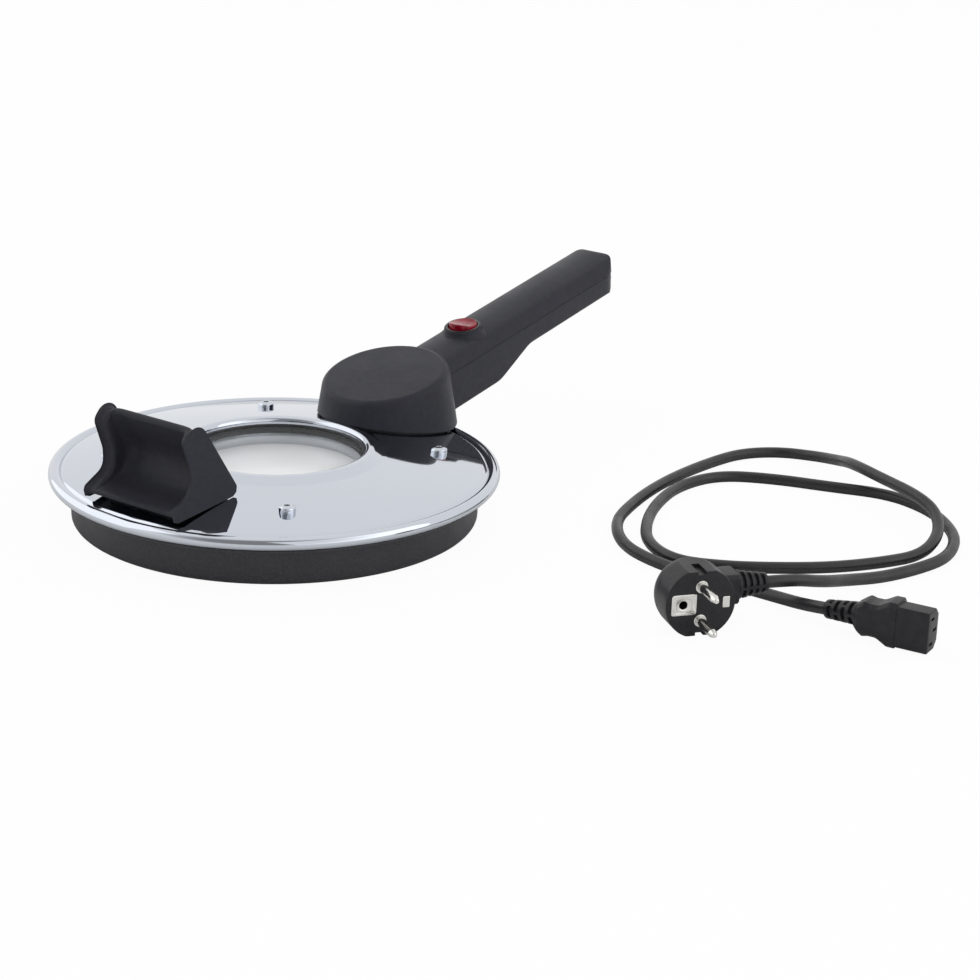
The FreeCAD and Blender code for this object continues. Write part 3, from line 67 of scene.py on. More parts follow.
def turned(outline, steps=192, centre=(0.0, 0.0)):
    """Grid of an outline of (radius, height) carried round an upright axis: x = radius cos a,
    y = radius sin a, z = height, for equal steps of the angle a."""
    outline = np.asarray(outline, float)
    angle = np.linspace(0, 2 * np.pi, steps, endpoint=False)
    radius, height = outline[:, :1], outline[:, 1:]
    x = centre[0] + radius * np.cos(angle)
    y = centre[1] + radius * np.sin(angle)
    return np.stack([x, y, height + 0 * x], axis=-1)


def smoothed(mesh, crease):
    """Smooth shading, with edges sharper than the crease angle kept sharp."""
    mesh.polygons.foreach_set("use_smooth", np.ones(len(mesh.polygons), bool))
    mesh.set_sharp_from_angle(angle=np.radians(crease))


def mesh_of(name, grids, crease=35.0):
    """Mesh made of grids of points in millimetres. Each grid is given with whether its rows and
    its columns close on themselves. Cells are quads, double points are merged and faces are
    turned outwards."""
    points, faces, first = [], [], 0
    for grid, rows_close, columns_close in grids:
        rows, columns = grid.shape[:2]
        index = first + np.arange(rows * columns).reshape(rows, columns)
        if columns_close:
            index = np.concatenate([index, index[:, :1]], axis=1)
        if rows_close:
            index = np.concatenate([index, index[:1]], axis=0)
        cells = [index[:-1, :-1], index[1:, :-1], index[1:, 1:], index[:-1, 1:]]
        faces.append(np.stack(cells, axis=-1).reshape(-1, 4))
        points.append(grid.reshape(-1, 3))
        first += rows * columns
    mesh = bpy.data.meshes.new(name)
    mesh.from_pydata(np.concatenate(points) * MM, [], np.concatenate(faces).tolist())
    whole = bmesh.new()
    whole.from_mesh(mesh)
    bmesh.ops.remove_doubles(whole, verts=whole.verts, dist=SAME_POINT)
    bmesh.ops.dissolve_degenerate(whole, edges=whole.edges, dist=NO_LENGTH)
    bmesh.ops.recalc_face_normals(whole, faces=whole.faces)
    whole.to_mesh(mesh)
    whole.free()
    smoothed(mesh, crease)
    return mesh


def linked(name, data):
    """Object with its data, in the scene."""
    thing = bpy.data.objects.new(name, data)
    bpy.context.scene.collection.objects.link(thing)
    return thing


def ready(name, mesh, material, body, replaces):
    """Piece with a mesh, which rides on a body and may stand for nodes of the frame."""
    mesh.materials.clear()
    mesh.materials.append(material)
    piece = linked(name, mesh)
    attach(piece, body)
    if replaces:
        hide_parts(*replaces)


def put(name, grids, material, body, replaces=(), crease=35.0):
    """Piece made of grids."""
    ready(name, mesh_of(name, grids, crease), material, body, replaces)


def node(tree, kind, sockets=(), **settings):
    """Shader node with its settings. A socket takes a plain value or another node's output."""
    made = tree.nodes.new("ShaderNode" + kind)
    for setting, value in settings.items():
        setattr(made, setting, value)
    for socket, value in dict(sockets).items():
        if isinstance(value, bpy.types.NodeSocket):
            tree.links.new(value, made.inputs[socket])
        else:
            made.inputs[socket].default_value = value
    return made


def noise(tree, scale, detail=2.0, stretch=(1.0, 1.0, 1.0)):
    """Noise in the object's own coordinates, stretched along the axes."""
    place = node(tree, "TexCoord").outputs["Object"]
    mapping = node(tree, "Mapping", {"Vector": place, "Scale": stretch})
    sockets = {"Vector": mapping.outputs["Vector"], "Scale": scale, "Detail": detail}
    return node(tree, "TexNoise", sockets).outputs["Fac"]


NOISE_LOW, NOISE_HIGH = 0.35, 0.65


def finish(name, colour, roughness, shade=None, rough=None, bump=None, **sockets):
    """Material of one principled shader, with plain values on its sockets. Noise, given by scale,
    detail and stretch, may shade the colour from one to another, spread the roughness from one
    value to another, and raise the surface by a distance."""
    material = bpy.data.materials.new(name)
    material.use_nodes = True
    tree = material.node_tree
    shader = tree.nodes["Principled BSDF"].inputs
    shader["Base Color"].default_value = (*colour, 1.0)
    shader["Roughness"].default_value = roughness
    for socket, value in sockets.items():
        shader[socket.replace("_", " ")].default_value = value
    if shade:
        dark, pale, *grain = shade
        ramp = node(tree, "ValToRGB", {"Fac": noise(tree, *grain)})
        for stop, at, tone in zip(ramp.color_ramp.elements, (NOISE_LOW, NOISE_HIGH), (dark, pale)):
            stop.position, stop.color = at, (*tone, 1.0)
        tree.links.new(ramp.outputs["Color"], shader["Base Color"])
    if rough:
        low, high, *grain = rough
        reach = node(tree, "MapRange", {
            "Value": noise(tree, *grain), "From Min": NOISE_LOW, "From Max": NOISE_HIGH,
            "To Min": low, "To Max": high,
        })
        tree.links.new(reach.outputs["Result"], shader["Roughness"])
    if bump:
        distance, *grain = bump
        raised = node(tree, "Bump", {
            "Height": noise(tree, *grain), "Distance": distance, "Strength": 1.0,
        })
        tree.links.new(raised.outputs["Normal"], shader["Normal"])
    return material


PAN_R, PAN_TOP, PAN_WALL, PAN_FLOOR, FLANGE_R = 120.0, 24.1, 1.8, 2.5, 129.0

pan_black = finish(
    "pan_black", (0.026, 0.026, 0.030), 0.5, shade=((0.016, 0.016, 0.020), (0.028, 0.028, 0.033), 900.0),
    rough=(0.42, 0.55, 40.0), bump=(0.00006, 1400.0),
)

corners = [
    (0.0, 0.0), (PAN_R, 0.0), (PAN_R, PAN_TOP - PAN_WALL), (FLANGE_R, PAN_TOP - PAN_WALL),
    (FLANGE_R, PAN_TOP), (PAN_R - PAN_WALL, PAN_TOP), (PAN_R - PAN_WALL, PAN_FLOOR), (0.0, PAN_FLOOR),
]
outline = rounded(corners, [1e-4, 3.6, 1.2, 0.8, 0.8, 2.6, 2.7, 1e-4], 8)
put("pan", [(turned(outline, 256), False, True)], pan_black, "pan", ["pan_shell"])

# Lid: one sheet of stainless steel, spun into a shallow dome with a rolled rim outside and a
# raised edge curled down round the window, then polished to a mirror.

polished_steel = finish(
    "polished_steel", (0.58, 0.61, 0.665), 0.05, rough=(0.035, 0.065, 30.0), Metallic=1.0,
)

SHEET, RIM_R, RIM_Z, ROLL_R = 0.8, 129.0, 28.0, 3.7
DOME_R, DOME_Z = 719.55, -677.55
OPENING_R, SEAT_Z, CREST_Z = 52.6, 38.03, 42.5


def dome(radius, depth=0.0):
    """Height of the spherical dome, or of a surface a depth below it, at a radius: the sphere's
    centre plus the root of its radius squared less the given radius squared."""
    return DOME_Z + np.sqrt((DOME_R - depth) ** 2 - np.asarray(radius, float) ** 2)


def lid_line(depth):
    """Outline of the lid sheet's outside, or of a line a depth inside it. It climbs the curled
    edge of the window, falls gently to the dome, follows it out and goes round the rolled rim."""
    run = [
        (OPENING_R + depth, SEAT_Z), (OPENING_R + depth, CREST_Z - depth),
        (58.0, CREST_Z - 0.2 - depth), (65.0, dome(65.0, depth)), (90.0, dome(90.0, depth)), (90.0, 0.0),
    ]
    steps = 14
    curl = rounded(run, [0.05, 2.9 - depth, 4.5, 9.0, 0.1, 0.1], steps)[:4 * steps]
    radius = np.linspace(68.0, RIM_R - 5.0, 36)
    sheet = np.stack([radius, dome(radius, depth)], 1)
    turn = np.radians(np.linspace(150, -170, 57))
    roll = ROLL_R - depth
    rim = np.stack([RIM_R + roll * np.cos(turn), RIM_Z + roll * np.sin(turn)], 1)
    return np.concatenate([curl, sheet, rim])


outline = np.concatenate([lid_line(0.0), lid_line(SHEET)[::-1]])
put(
    "lid_sheet", [(turned(outline, 288), True, True)],
    polished_steel, "lid", ["lid_shell"],
)

# Window: a tempered glass disc on a black silicone ring, under the curled edge of the lid. A
# polished steel well carries it, and an opal white disc closes the well below.

GLASS_R, GLASS_LOW, GLASS_TOP = 54.4, 33.0, 36.8
WELL_R, WELL_LOW, WELL_LEDGE, WELL_SHEET, OPAL_LOW, OPAL_TOP = 50.6, 25.0, 5.0, 0.8, 24.2, 26.4

clear_glass = finish(
    "clear_glass", (0.90, 0.93, 0.94), 0.01, shade=((0.88, 0.92, 0.93), (0.92, 0.94, 0.95), 12.0),
    Alpha=0.07,
)
corners = [(0.0, GLASS_LOW), (GLASS_R, GLASS_LOW), (GLASS_R, GLASS_TOP), (0.0, GLASS_TOP)]
outline = rounded(corners, [1e-4, 0.6, 0.6, 1e-4], 5)
put(
    "window_disc", [(turned(outline, 160), False, True)],
    clear_glass, "lid", ["window_glass"],
)

opal_white = finish(
    "opal_white", (0.94, 0.95, 0.96), 0.25, shade=((0.93, 0.94, 0.95), (0.95, 0.96, 0.97), 25.0),
)
corners = [(0.0, OPAL_LOW), (WELL_R, OPAL_LOW), (WELL_R, OPAL_TOP), (0.0, OPAL_TOP)]
outline = rounded(corners, [1e-4, 0.2, 0.2, 1e-4], 3)
put(
    "well_bottom", [(turned(outline, 160), False, True)],
    opal_white, "lid", ["window_pane"],
)

well_steel = finish("well_steel", (0.42, 0.44, 0.47), 0.12, rough=(0.09, 0.15, 30.0), Metallic=1.0)
corners = [
    (WELL_R, WELL_LOW), (WELL_R + WELL_LEDGE, WELL_LOW),
    (WELL_R + WELL_LEDGE, WELL_LOW + WELL_SHEET), (WELL_R + WELL_SHEET, WELL_LOW + WELL_SHEET),
    (WELL_R + WELL_SHEET, GLASS_LOW - WELL_SHEET), (WELL_R + WELL_LEDGE, GLASS_LOW - WELL_SHEET),
    (WELL_R + WELL_LEDGE, GLASS_LOW), (WELL_R, GLASS_LOW),
]
outline = rounded(corners, 0.15, 3)
put("well", [(turned(outline, 240), True, True)], well_steel, "lid", ["window_retainer"])

# This black is the gasket's own colour, and it also serves as painted shade in the screw sockets.
black_silicone_and_socket_shade = finish("black_silicone_and_socket_shade", (0.018, 0.018, 0.02), 0.6, bump=(0.00005, 900.0))


def finish_node(material, *names):
    """Give nodes of the frame a material."""
    for name in names:
        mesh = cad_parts[name].data
        mesh.materials.clear()
        mesh.materials.append(material)


finish_node(black_silicone_and_socket_shade, "window_gasket")

# Heater: a round tubular element clipped to a slotted steel cover under the dome, with a bright
# reflector and a ring of pressed mineral fibre above it. None of it shows with the lid on.

rolled_steel = finish(
    "rolled_steel", (0.55, 0.56, 0.57), 0.3,
    shade=((0.50, 0.51, 0.52), (0.60, 0.61, 0.62), 120.0, 3.0, (1.0, 0.05, 1.0)),
    bump=(0.00003, 700.0, 2.0, (1.0, 0.03, 1.0)), Metallic=1.0,
)
finish_node(rolled_steel, "element_cover", "element_clips", "lid_spacers", "thermal_cutout")

heater_sheath = finish(
    "heater_sheath", (0.20, 0.19, 0.18), 0.45, shade=((0.13, 0.12, 0.12), (0.27, 0.25, 0.22), 90.0, 4.0),
    bump=(0.00005, 1500.0), Metallic=1.0,
)
finish_node(heater_sheath, "heating_element")

bright_sheet = finish("bright_sheet", (0.80, 0.81, 0.82), 0.18, rough=(0.12, 0.26, 80.0), Metallic=1.0)
finish_node(bright_sheet, "reflector_ring")

mineral_fibre = finish(
    "mineral_fibre", (0.82, 0.80, 0.74), 0.95,
    shade=((0.74, 0.72, 0.65), (0.88, 0.86, 0.80), 500.0, 5.0), bump=(0.0003, 900.0, 5.0),
)
finish_node(mineral_fibre, "insulation_ring")

# Lid screws: four turned steel screws with a drum head, polished like the lid. A flat black disc
# sits in the socket in the middle of each head as painted shade for its hollow. Nuts hold them
# under the heater's cover.

SCREW_CIRCLE, SCREW_LOW, SHANK_R, HEAD_R = 97.0, 22.0, 1.5, 5.0

seat = float(dome(SCREW_CIRCLE))
corners = [
    (0.0, SCREW_LOW), (SHANK_R, SCREW_LOW), (SHANK_R, seat - 0.8), (HEAD_R, seat - 0.8),
    (HEAD_R, seat + 2.7), (2.9, seat + 3.5), (1.7, seat + 3.6), (1.6, seat + 2.2), (0.0, seat + 2.2),
]
outline = rounded(corners, [1e-4, 0.2, 0.1, 0.1, 0.9, 1.4, 0.15, 0.2, 1e-4], 5)
turn = np.radians([45.0, 135.0, 225.0, 315.0])
places = np.stack([SCREW_CIRCLE * np.cos(turn), SCREW_CIRCLE * np.sin(turn)], 1)
put(
    "dome_screws", [(turned(outline, 48, place), False, True) for place in places],
    polished_steel, "lid", ["lid_screws"],
)
# Flat black discs in the screw sockets: painted shade for the dark hollow of each head.
corners = [(0.0, seat + 2.1), (1.5, seat + 2.1), (1.5, seat + 3.2), (0.0, seat + 3.2)]
outline = rounded(corners, [1e-4, 0.1, 0.15, 1e-4], 4)
put(
    "screw_socket_shade_discs", [(turned(outline, 32, place), False, True) for place in places],
    black_silicone_and_socket_shade, "lid",
)

zinc_plate = finish(
    "zinc_plate", (0.60, 0.60, 0.62), 0.28, shade=((0.55, 0.55, 0.56), (0.66, 0.66, 0.69), 400.0, 3.0),
    Metallic=1.0,
)
finish_node(zinc_plate, "lid_nuts", "grip_screws", "handle_screws", "pod_screws", "rocker_pin")

# Front grip: a scoop moulded in heat-proof black plastic. Its back leans forward, two cheeks with
# beaked tops close its sides, and its floor runs out to the front. It has soft edges all round.

satin_black = finish(
    "satin_black", (0.030, 0.0305, 0.039), 0.4,
    shade=((0.028, 0.0285, 0.036), (0.032, 0.0325, 0.042), 260.0, 3.0), rough=(0.36, 0.44, 45.0),
    bump=(0.00002, 2600.0), Specular_IOR_Level=0.12,
)


def spaced(points, count):
    """Points at equal steps of length along a polyline, by interpolating its running length."""
    points = np.asarray(points, float)
    run = np.concatenate([[0.0], np.cumsum(np.linalg.norm(np.diff(points, axis=0), axis=1))])
    at = np.linspace(0, run[-1], count)
    return np.stack([np.interp(at, run, points[:, k]) for k in range(points.shape[1])], axis=1)


def chain(parts, counts):
    """Several polylines one after another, each spaced into its own number of points."""
    return np.concatenate([spaced(part, count) for part, count in zip(parts, counts)])


def inward(points):
    """Unit directions into a closed outline that runs clockwise in (y, z): the run turned."""
    run = np.roll(points, -1, axis=0) - np.roll(points, 1, axis=0)
    run /= np.maximum(np.linalg.norm(run, axis=1, keepdims=True), 1e-9)
    return np.stack([run[:, 1], -run[:, 0]], axis=1)


GRIP_HALF, CHEEK, LIP, CORNER = 34.0, 6.0, 2.7, 7.0
grip_corners = [
    (-72.7, 40.46), (-103.0, 86.2), (-111.2, 77.2), (-105.1, 59.97), (-104.9, 47.07),
    (-121.0, 38.87), (-120.6, 36.12),
]
arcs = rounded(grip_corners, [1.6, 6.4, 2.8, 16.0, 11.0, 1.6, 1.6], 12).reshape(7, 12, 2)
back_top = arcs[0, -1] + 0.985 * (arcs[1, 0] - arcs[0, -1])
COUNTS = (14, 12, 16, 16, 18)
cheek_line = chain(
    [np.concatenate([[back_top], arcs[1]])]
    + [np.concatenate([arcs[k - 1, -1:], arcs[k]]) for k in (2, 3, 4)]
    + [np.concatenate([arcs[4, -1:], arcs[5, :6]])], COUNTS,
)
wall_corners = [(-72.7, 40.46), (-101.65, 84.15), (-105.05, 81.85), (-79.4, 43.2), (-121.0, 39.38)]
wall_arcs = rounded(wall_corners, [1.0, 2.1, 2.1, 16.0, 1.0], 12).reshape(5, 12, 2)
inside_top, wall_end = wall_arcs[2, -1], wall_arcs[3, 0]
inside_low = inside_top + 0.35 * (wall_end - inside_top)
dish_line = chain([
    np.concatenate([[back_top], wall_arcs[1], wall_arcs[2]]),
    [inside_top, inside_low], [inside_low, wall_end],
    wall_arcs[3],
    [wall_arcs[3, -1], (-118.8, 39.3), arcs[5, 5]],
], COUNTS)
low_point = arcs[0, 0] - 0.25 * (arcs[0, 0] - arcs[6, -1])
stops = [back_top + share * (arcs[0, -1] - back_top) for share in (0.2, 0.42, 0.85)]
back_line = chain([
    [back_top, stops[0]], stops[:2], stops[1:],
    np.concatenate([stops[2:], arcs[0, ::-1], [low_point]]),
    np.concatenate([[low_point], arcs[6, ::-1], arcs[5, 5:][::-1]]),
], COUNTS)
outer_loop = np.concatenate([cheek_line, back_line[::-1]])
inner_loop = np.concatenate([dish_line, back_line[::-1]])
gap = np.linalg.norm(outer_loop - inner_loop, axis=1)[:, None]
inner_r, lip_r = np.minimum(CORNER, gap / 2), np.minimum(LIP, gap / 2)
quarter = np.linspace(0, np.pi / 2, 9)[None, :]
sine, versine = np.sin(quarter), 1 - np.cos(quarter)
flat, level = np.ones_like(gap), np.zeros((len(gap), 9))
side = GRIP_HALF - CHEEK
columns = [
    (flat * np.linspace(0, side - CORNER, 8)[None, :], level[:, 1:], level[:, 1:]),
    (flat * (side - CORNER + CORNER * sine), inner_r * versine, level),
    (flat * (side + LIP * versine), gap - lip_r + lip_r * sine, level),
    (flat * (GRIP_HALF - LIP + LIP * sine), gap + level, flat * LIP * versine),
]
across, rise, inset = (np.concatenate([column[k] for column in columns], axis=1) for k in range(3))
share = rise / np.maximum(gap, 1e-6)
section = inner_loop[:, None] + share[..., None] * (outer_loop - inner_loop)[:, None]
section = section + inset[..., None] * inward(outer_loop)[:, None]
right = np.concatenate([across[..., None], section], axis=-1)
left = right[:, ::-1] * np.array([-1.0, 1.0, 1.0])
half_count = len(cheek_line)
grids = [(np.concatenate([left, right], axis=1), True, False)]
for edge in (left[:, 0], right[:, -1]):
    grids.append((np.stack([edge[:half_count], edge[half_count:][::-1]], axis=1), False, False))
put(
    "hand_scoop", grids, satin_black, "lid", ["front_grip"], crease=60.0,
)

pad_black = finish("pad_black", (0.012, 0.012, 0.014), 0.6, bump=(0.00004, 1500.0))
finish_node(pad_black, "grip_pad", "pod_base_plate")

# Pod and handle top: one moulding in the same black plastic, with walls of 2.4 mm. A round tapered
# pod stands on the lid, the handle's crowned upper half runs out of its back, and a flared collar
# takes the switch. It closes on the lower half along the middle of the handle.

WALL, POD_Y, POD_R, POD_SLOPE = 2.4, 104.0, 43.3, np.tan(np.radians(9.0))
POD_BASE, FOOT_GAP = float(dome(POD_Y)) + 3.4, 1.0
POD_TOP, TOP_SLOPE, POD_ROUND = 64.6, np.tan(np.radians(12.9)), 4.6
PARTING, RISE = 50.1, np.radians(10.2)
HANDLE_END, PLAN_ROUND, END_ROUND, FLARE = 235.0, 18.0, 9.5, 5.5
SWITCH_AT, HOLE_R, BAR_START, BAR_LAST = 80.6, 10.42, 44.0, 222.0


def handle_place(x, along, up):
    """Points of the handle's own frame: turned by its rise about the pod's axis at the parting."""
    y = POD_Y + along * np.cos(RISE) - up * np.sin(RISE)
    z = PARTING + along * np.sin(RISE) + up * np.cos(RISE)
    return np.stack(np.broadcast_arrays(x, y, z), axis=-1)


def pod_grid(steps=288):
    """Wall of the pod. In each direction round its axis, the section's corners are where the
    tapered side meets the leaning top plane and a small gap above the lid, outside and inside."""
    angle = np.linspace(0, 2 * np.pi, steps, endpoint=False)
    lean = np.sin(angle)
    corners, nothing = [], np.zeros(steps)
    for inset, foot_inset in ((0.0, 0.0), (WALL, 1.9)):
        foot = POD_R - foot_inset
        for _ in range(6):
            out = np.hypot(foot * np.cos(angle), POD_Y + foot * lean)
            low = np.maximum(dome(np.minimum(out, 124.0)), 31.0) + FOOT_GAP
            foot = POD_R - foot_inset - POD_SLOPE * (low - POD_BASE)
        head = POD_R - inset - POD_SLOPE * (POD_TOP - inset - POD_BASE)
        head = head / (1 + POD_SLOPE * TOP_SLOPE * lean)
        middle = (nothing, nothing + POD_TOP - inset)
        top = (head, POD_TOP - inset + TOP_SLOPE * head * lean)
        corners.append([middle, top, (foot, low)])
    section = np.array(corners[0] + corners[1][::-1]).transpose(2, 0, 1)
    section = rounded(section, [1e-4, POD_ROUND, 0.6, 0.3, POD_ROUND - WALL, 1e-4], 11)
    radius, height = section[..., 0].T, section[..., 1].T
    return np.stack([radius * np.cos(angle), POD_Y + radius * np.sin(angle), height], axis=-1)


def reach_of_pod(x, up, inset):
    """How far along the handle a line meets the pod's side, by repeated correction: the height
    gives the side's radius, and that radius gives the distance along."""
    along = np.full(np.shape(x), 45.0)
    for _ in range(8):
        height = PARTING + along * np.sin(RISE) + up * np.cos(RISE)
        radius = POD_R - inset - POD_SLOPE * (height - POD_BASE)
        along = (np.sqrt(radius ** 2 - x ** 2) + up * np.sin(RISE)) / np.cos(RISE)
    return along


def end_drop(across, deep, across_round, deep_round):
    """How far the rounded end stands back: of the two quarter circles, one across and one in
    depth, the larger, eased with a cube mean."""
    back = []
    for past, radius in ((across, across_round), (deep, deep_round)):
        share = np.clip(past / radius, 0, 1)
        back.append(radius * (1 - np.sqrt(1 - share ** 2)))
    return np.cbrt(back[0] ** 3 + back[1] ** 3)


def bar_surface(section, stations, drop, end, inset, flare=0.0):
    """One skin of a half of the handle. Its sections stand at stations along it. The first rows
    bend to the pod's side and the last to the rounded end, and further rows shrink the last
    section to a point on that end."""
    x, up = section[..., 0], section[..., 1]
    if flare:
        run = np.gradient(section, axis=1)
        run /= np.maximum(np.linalg.norm(run, axis=-1, keepdims=True), 1e-9)
        near = np.clip(1 - (stations - stations[0] - 1.0) / flare, 0, 1)[:, None]
        fade = np.clip(up / 5, 0, 1) * np.clip((12.0 - up) / 5, 0.2, 1)
        push = flare * (1 - np.sqrt(1 - near ** 2)) * fade
        x, up = x + push * run[..., 1], up - push * run[..., 0]
    first = reach_of_pod(x[0], up[0], inset) - stations[0]
    last = end - drop(x[-1], up[-1]) - stations[-1]
    near = np.clip(1 - (stations - stations[0]) / 30, 0, 1)[:, None]
    far = np.clip(1 - (stations[-1] - stations) / 30, 0, 1)[:, None]
    along = stations[:, None] + near ** 2 * (3 - 2 * near) * first + far ** 2 * (3 - 2 * far) * last
    scale = np.cos(np.linspace(0, np.pi / 2, 19))[1:, None]
    cap_x, cap_up = scale * x[-1], scale * up[-1]
    x, up = np.concatenate([x, cap_x]), np.concatenate([up, cap_up])
    along = np.concatenate([along, end - drop(cap_x, cap_up)])
    return handle_place(x, along, up)


def bar_grids(outer, inner):
    """Closed wall of an outer and an inner skin, with a rim between their first rows."""
    wall = np.concatenate([outer, inner[:, ::-1]], axis=1)
    return [(wall, False, True), (np.stack([outer[0], inner[0]]), False, False)]


def crown_skin(inset, stations):
    """Skin of the upper half: drafted sides, shoulders and a low crown."""
    half, top, shoulder, crown = 19.0 - inset, 16.6 - inset, 8.2 - inset, 11.6 - inset
    lip = 0.45
    side = [
        (half - lip, 0.0), (half - 0.25 * lip, 1.2 * lip), (top, shoulder),
        (top / 2, 0.25 * shoulder + 0.75 * crown),
    ]
    corners = side + [(0.0, crown)] + [(-x, up) for x, up in side[::-1]]
    soft, arch = 7.0 - 1.0 * inset, 38.0 - 4.0 * inset
    line = rounded(corners, [1e-3, 0.2, soft, arch, arch, arch, soft, 0.2, 1e-3], 9)
    section = np.broadcast_to(line, (len(stations),) + line.shape)
    across, deep = PLAN_ROUND - inset, END_ROUND - inset

    def drop(x, up):
        return end_drop(abs(x) - (half - across), up - (crown - deep), across, deep)

    return bar_surface(section, stations, drop, HANDLE_END - inset, 1.0, 0.0 if inset else FLARE)


def prism(outline, low, high):
    """Grids of a prism: an outline's sides between two lengths, and its two ends. The outline
    gives (x, up), and the lengths run along the handle."""
    outline = np.asarray(outline, float)
    along = np.array([low, high])[:, None]
    side = handle_place(outline[:, 0], along, outline[:, 1])
    ends = [np.stack([line, 0 * line + line.mean(axis=0)]) for line in side]
    return [(side, False, True)] + [(end, False, True) for end in ends]


def on_handle(outline, along_at, steps=96):
    """Lathe of (radius, up) about an axis square to the parting, at a place along the handle."""
    grid = turned(outline, steps)
    return handle_place(grid[..., 0], along_at + grid[..., 1], grid[..., 2])


def carve(grids, cutters, crease=35.0):
    """Mesh of closed grids, or a closed mesh, less closed cutters, by an exact Boolean difference."""
    whole = grids if isinstance(grids, bpy.types.Mesh) else mesh_of("carved", grids, crease)
    meshes = [whole, mesh_of("cutter", cutters, crease)]
    body, tool = (linked(mesh.name, mesh) for mesh in meshes)
    cut = body.modifiers.new("cut", "BOOLEAN")
    cut.operation, cut.solver, cut.object = "DIFFERENCE", "EXACT", tool
    seen = body.evaluated_get(bpy.context.evaluated_depsgraph_get())
    carved = bpy.data.meshes.new_from_object(seen)
    for thing in (body, tool):
        bpy.data.objects.remove(thing)
    return carved


def joined(name, meshes, material, body, replaces=(), crease=35.0):
    """Piece made of several meshes at their places."""
    whole = bmesh.new()
    for mesh in meshes:
        whole.from_mesh(mesh)
        bpy.data.meshes.remove(mesh)
    for face in whole.faces:
        face.material_index = 0
    bmesh.ops.dissolve_degenerate(whole, edges=whole.edges, dist=NO_LENGTH)
    mesh = bpy.data.meshes.new(name)
    whole.to_mesh(mesh)
    whole.free()
    smoothed(mesh, crease)
    ready(name, mesh, material, body, replaces)


close = BAR_START + np.array([0, 1.0, 1.15, 1.4, 1.8, 2.3, 2.9, 3.6, 4.4, 5.3, 6.5])
stations = np.concatenate([close, np.linspace(52.5, BAR_LAST, 58)])
bar = bar_grids(crown_skin(0.0, stations), crown_skin(WALL, stations))
inlet_outline = [(13.6, 7.8), (13.6, -7.1), (9.1, -11.6), (-9.1, -11.6), (-13.6, -7.1), (-13.6, 7.8)]
inlet_hole = prism(inlet_outline, HANDLE_END - 27.0, HANDLE_END + 2.0)
hole = [(0.0, -3.0), (HOLE_R, -3.0), (HOLE_R, 16.0), (0.0, 16.0)]
switch_hole = [(on_handle(hole, SWITCH_AT), False, True)]
channel = prism([(13.0, 7.0), (13.0, -1.0), (-13.0, -1.0), (-13.0, 7.0)], 30.0, 47.5)
collar = rounded(
    [(HOLE_R, 3.0), (HOLE_R, 14.0), (11.95, 14.0), (12.5, 11.2), (15.6, 8.4), (15.6, 3.0)],
    [0.1, 0.25, 0.5, 4.0, 0.4, 0.1], 9,
)
pod_meshes = [
    carve([(pod_grid(), False, True)], channel),
    carve(bar, inlet_hole + switch_hole),
    mesh_of("collar", [(on_handle(collar, SWITCH_AT, 144), True, True)]),
]
joined("pod_and_top", pod_meshes, satin_black, "lid", ["handle_top_shell"])

# Handle bottom: the lower half of the handle, deeper where it meets the pod, in the same plastic.
# Three screws from below close it on the upper half, and its edge is chamfered into a fine groove.


def belly_skin(inset, stations):
    """Skin of the lower half: sides that draw in downwards, and a floor that steps up from the
    belly by the pod to the hand's part in a long eased run."""
    far = 300.0
    run = rounded(
        [(20.0, -28.0), (95.0, -28.0), (128.0, -15.0), (far, -15.0), (far, 90.0), (20.0, 90.0)],
        [0.1, 22.0, 22.0, 0.1, 0.1, 0.1], 16,
    )[:64]
    floor = np.interp(stations, run[:, 0], run[:, 1]) + inset

    def half(up):
        return 18.6 + 2.6 * up / 38.0 - inset

    lip = 0.9
    nothing = np.zeros(len(stations))
    right = [
        (nothing + half(0.0) - lip, nothing), (nothing + half(-lip), nothing - lip), (half(floor), floor),
    ]
    corners = np.array(right + [(-x, up) for x, up in right[::-1]]).transpose(2, 0, 1)
    round_floor, round_end = max(3.2 - inset, 0.4), END_ROUND - inset
    section = rounded(corners, [1e-3, 0.25, round_floor, round_floor, 0.25, 1e-3], 9)
    across, depth = PLAN_ROUND - inset, 15.0 - inset

    def drop(x, up):
        return end_drop(abs(x) - (half(up) - across), -up - (depth - round_end), across, round_end)

    return bar_surface(section, stations, drop, HANDLE_END - inset, -0.12)


stations = np.concatenate([[BAR_START], np.linspace(46.0, BAR_LAST, 90)])
bar = bar_grids(belly_skin(0.0, stations), belly_skin(WALL, stations))
holes = []
for along_at, depth in ((57.0, 28.0), (141.0, 15.0), (195.0, 15.0)):
    hole = [(0.0, -depth - 2.0), (3.1, -depth - 2.0), (3.1, 1.7 - depth), (0.0, 1.7 - depth)]
    holes.append((on_handle(hole, along_at, 48), False, True))
joined(
    "handle_bottom", [carve(bar, inlet_hole + holes)],
    satin_black, "lid", ["handle_bottom_shell"],
)

# Mains inlet: a black moulded block in the handle's end, with its face trimmed flush with the
# rounded end. Its shape is the frame's own, less a cutter whose near face is that end.

rim = spaced([(20.0, 14.0), (20.0, -18.0), (-20.0, -18.0), (-20.0, 14.0), (20.0, 14.0)], 145)[:-1]
shrink = np.linspace(0.0, 1.0, 25)[:, None]
x, up = shrink * rim[:, 0], shrink * rim[:, 1]
deep = np.maximum(up - 11.6, -up - 15.0) + END_ROUND
back = end_drop(abs(x) - (19.0 - PLAN_ROUND), deep, PLAN_ROUND, END_ROUND)
near_face = handle_place(x, HANDLE_END - 0.3 - back, up)
far_face = handle_place(x, HANDLE_END + 15.0, up)[::-1]
whole = bmesh.new()
whole.from_mesh(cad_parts["inlet_body"].data)
bmesh.ops.remove_doubles(whole, verts=whole.verts, dist=SAME_POINT)
block = bpy.data.meshes.new("inlet_block")
whole.to_mesh(block)
whole.free()
cutter = [(np.concatenate([near_face, far_face]), False, True)]
joined("inlet_block", [carve(block, cutter)], pad_black, "lid", ["inlet_body"])

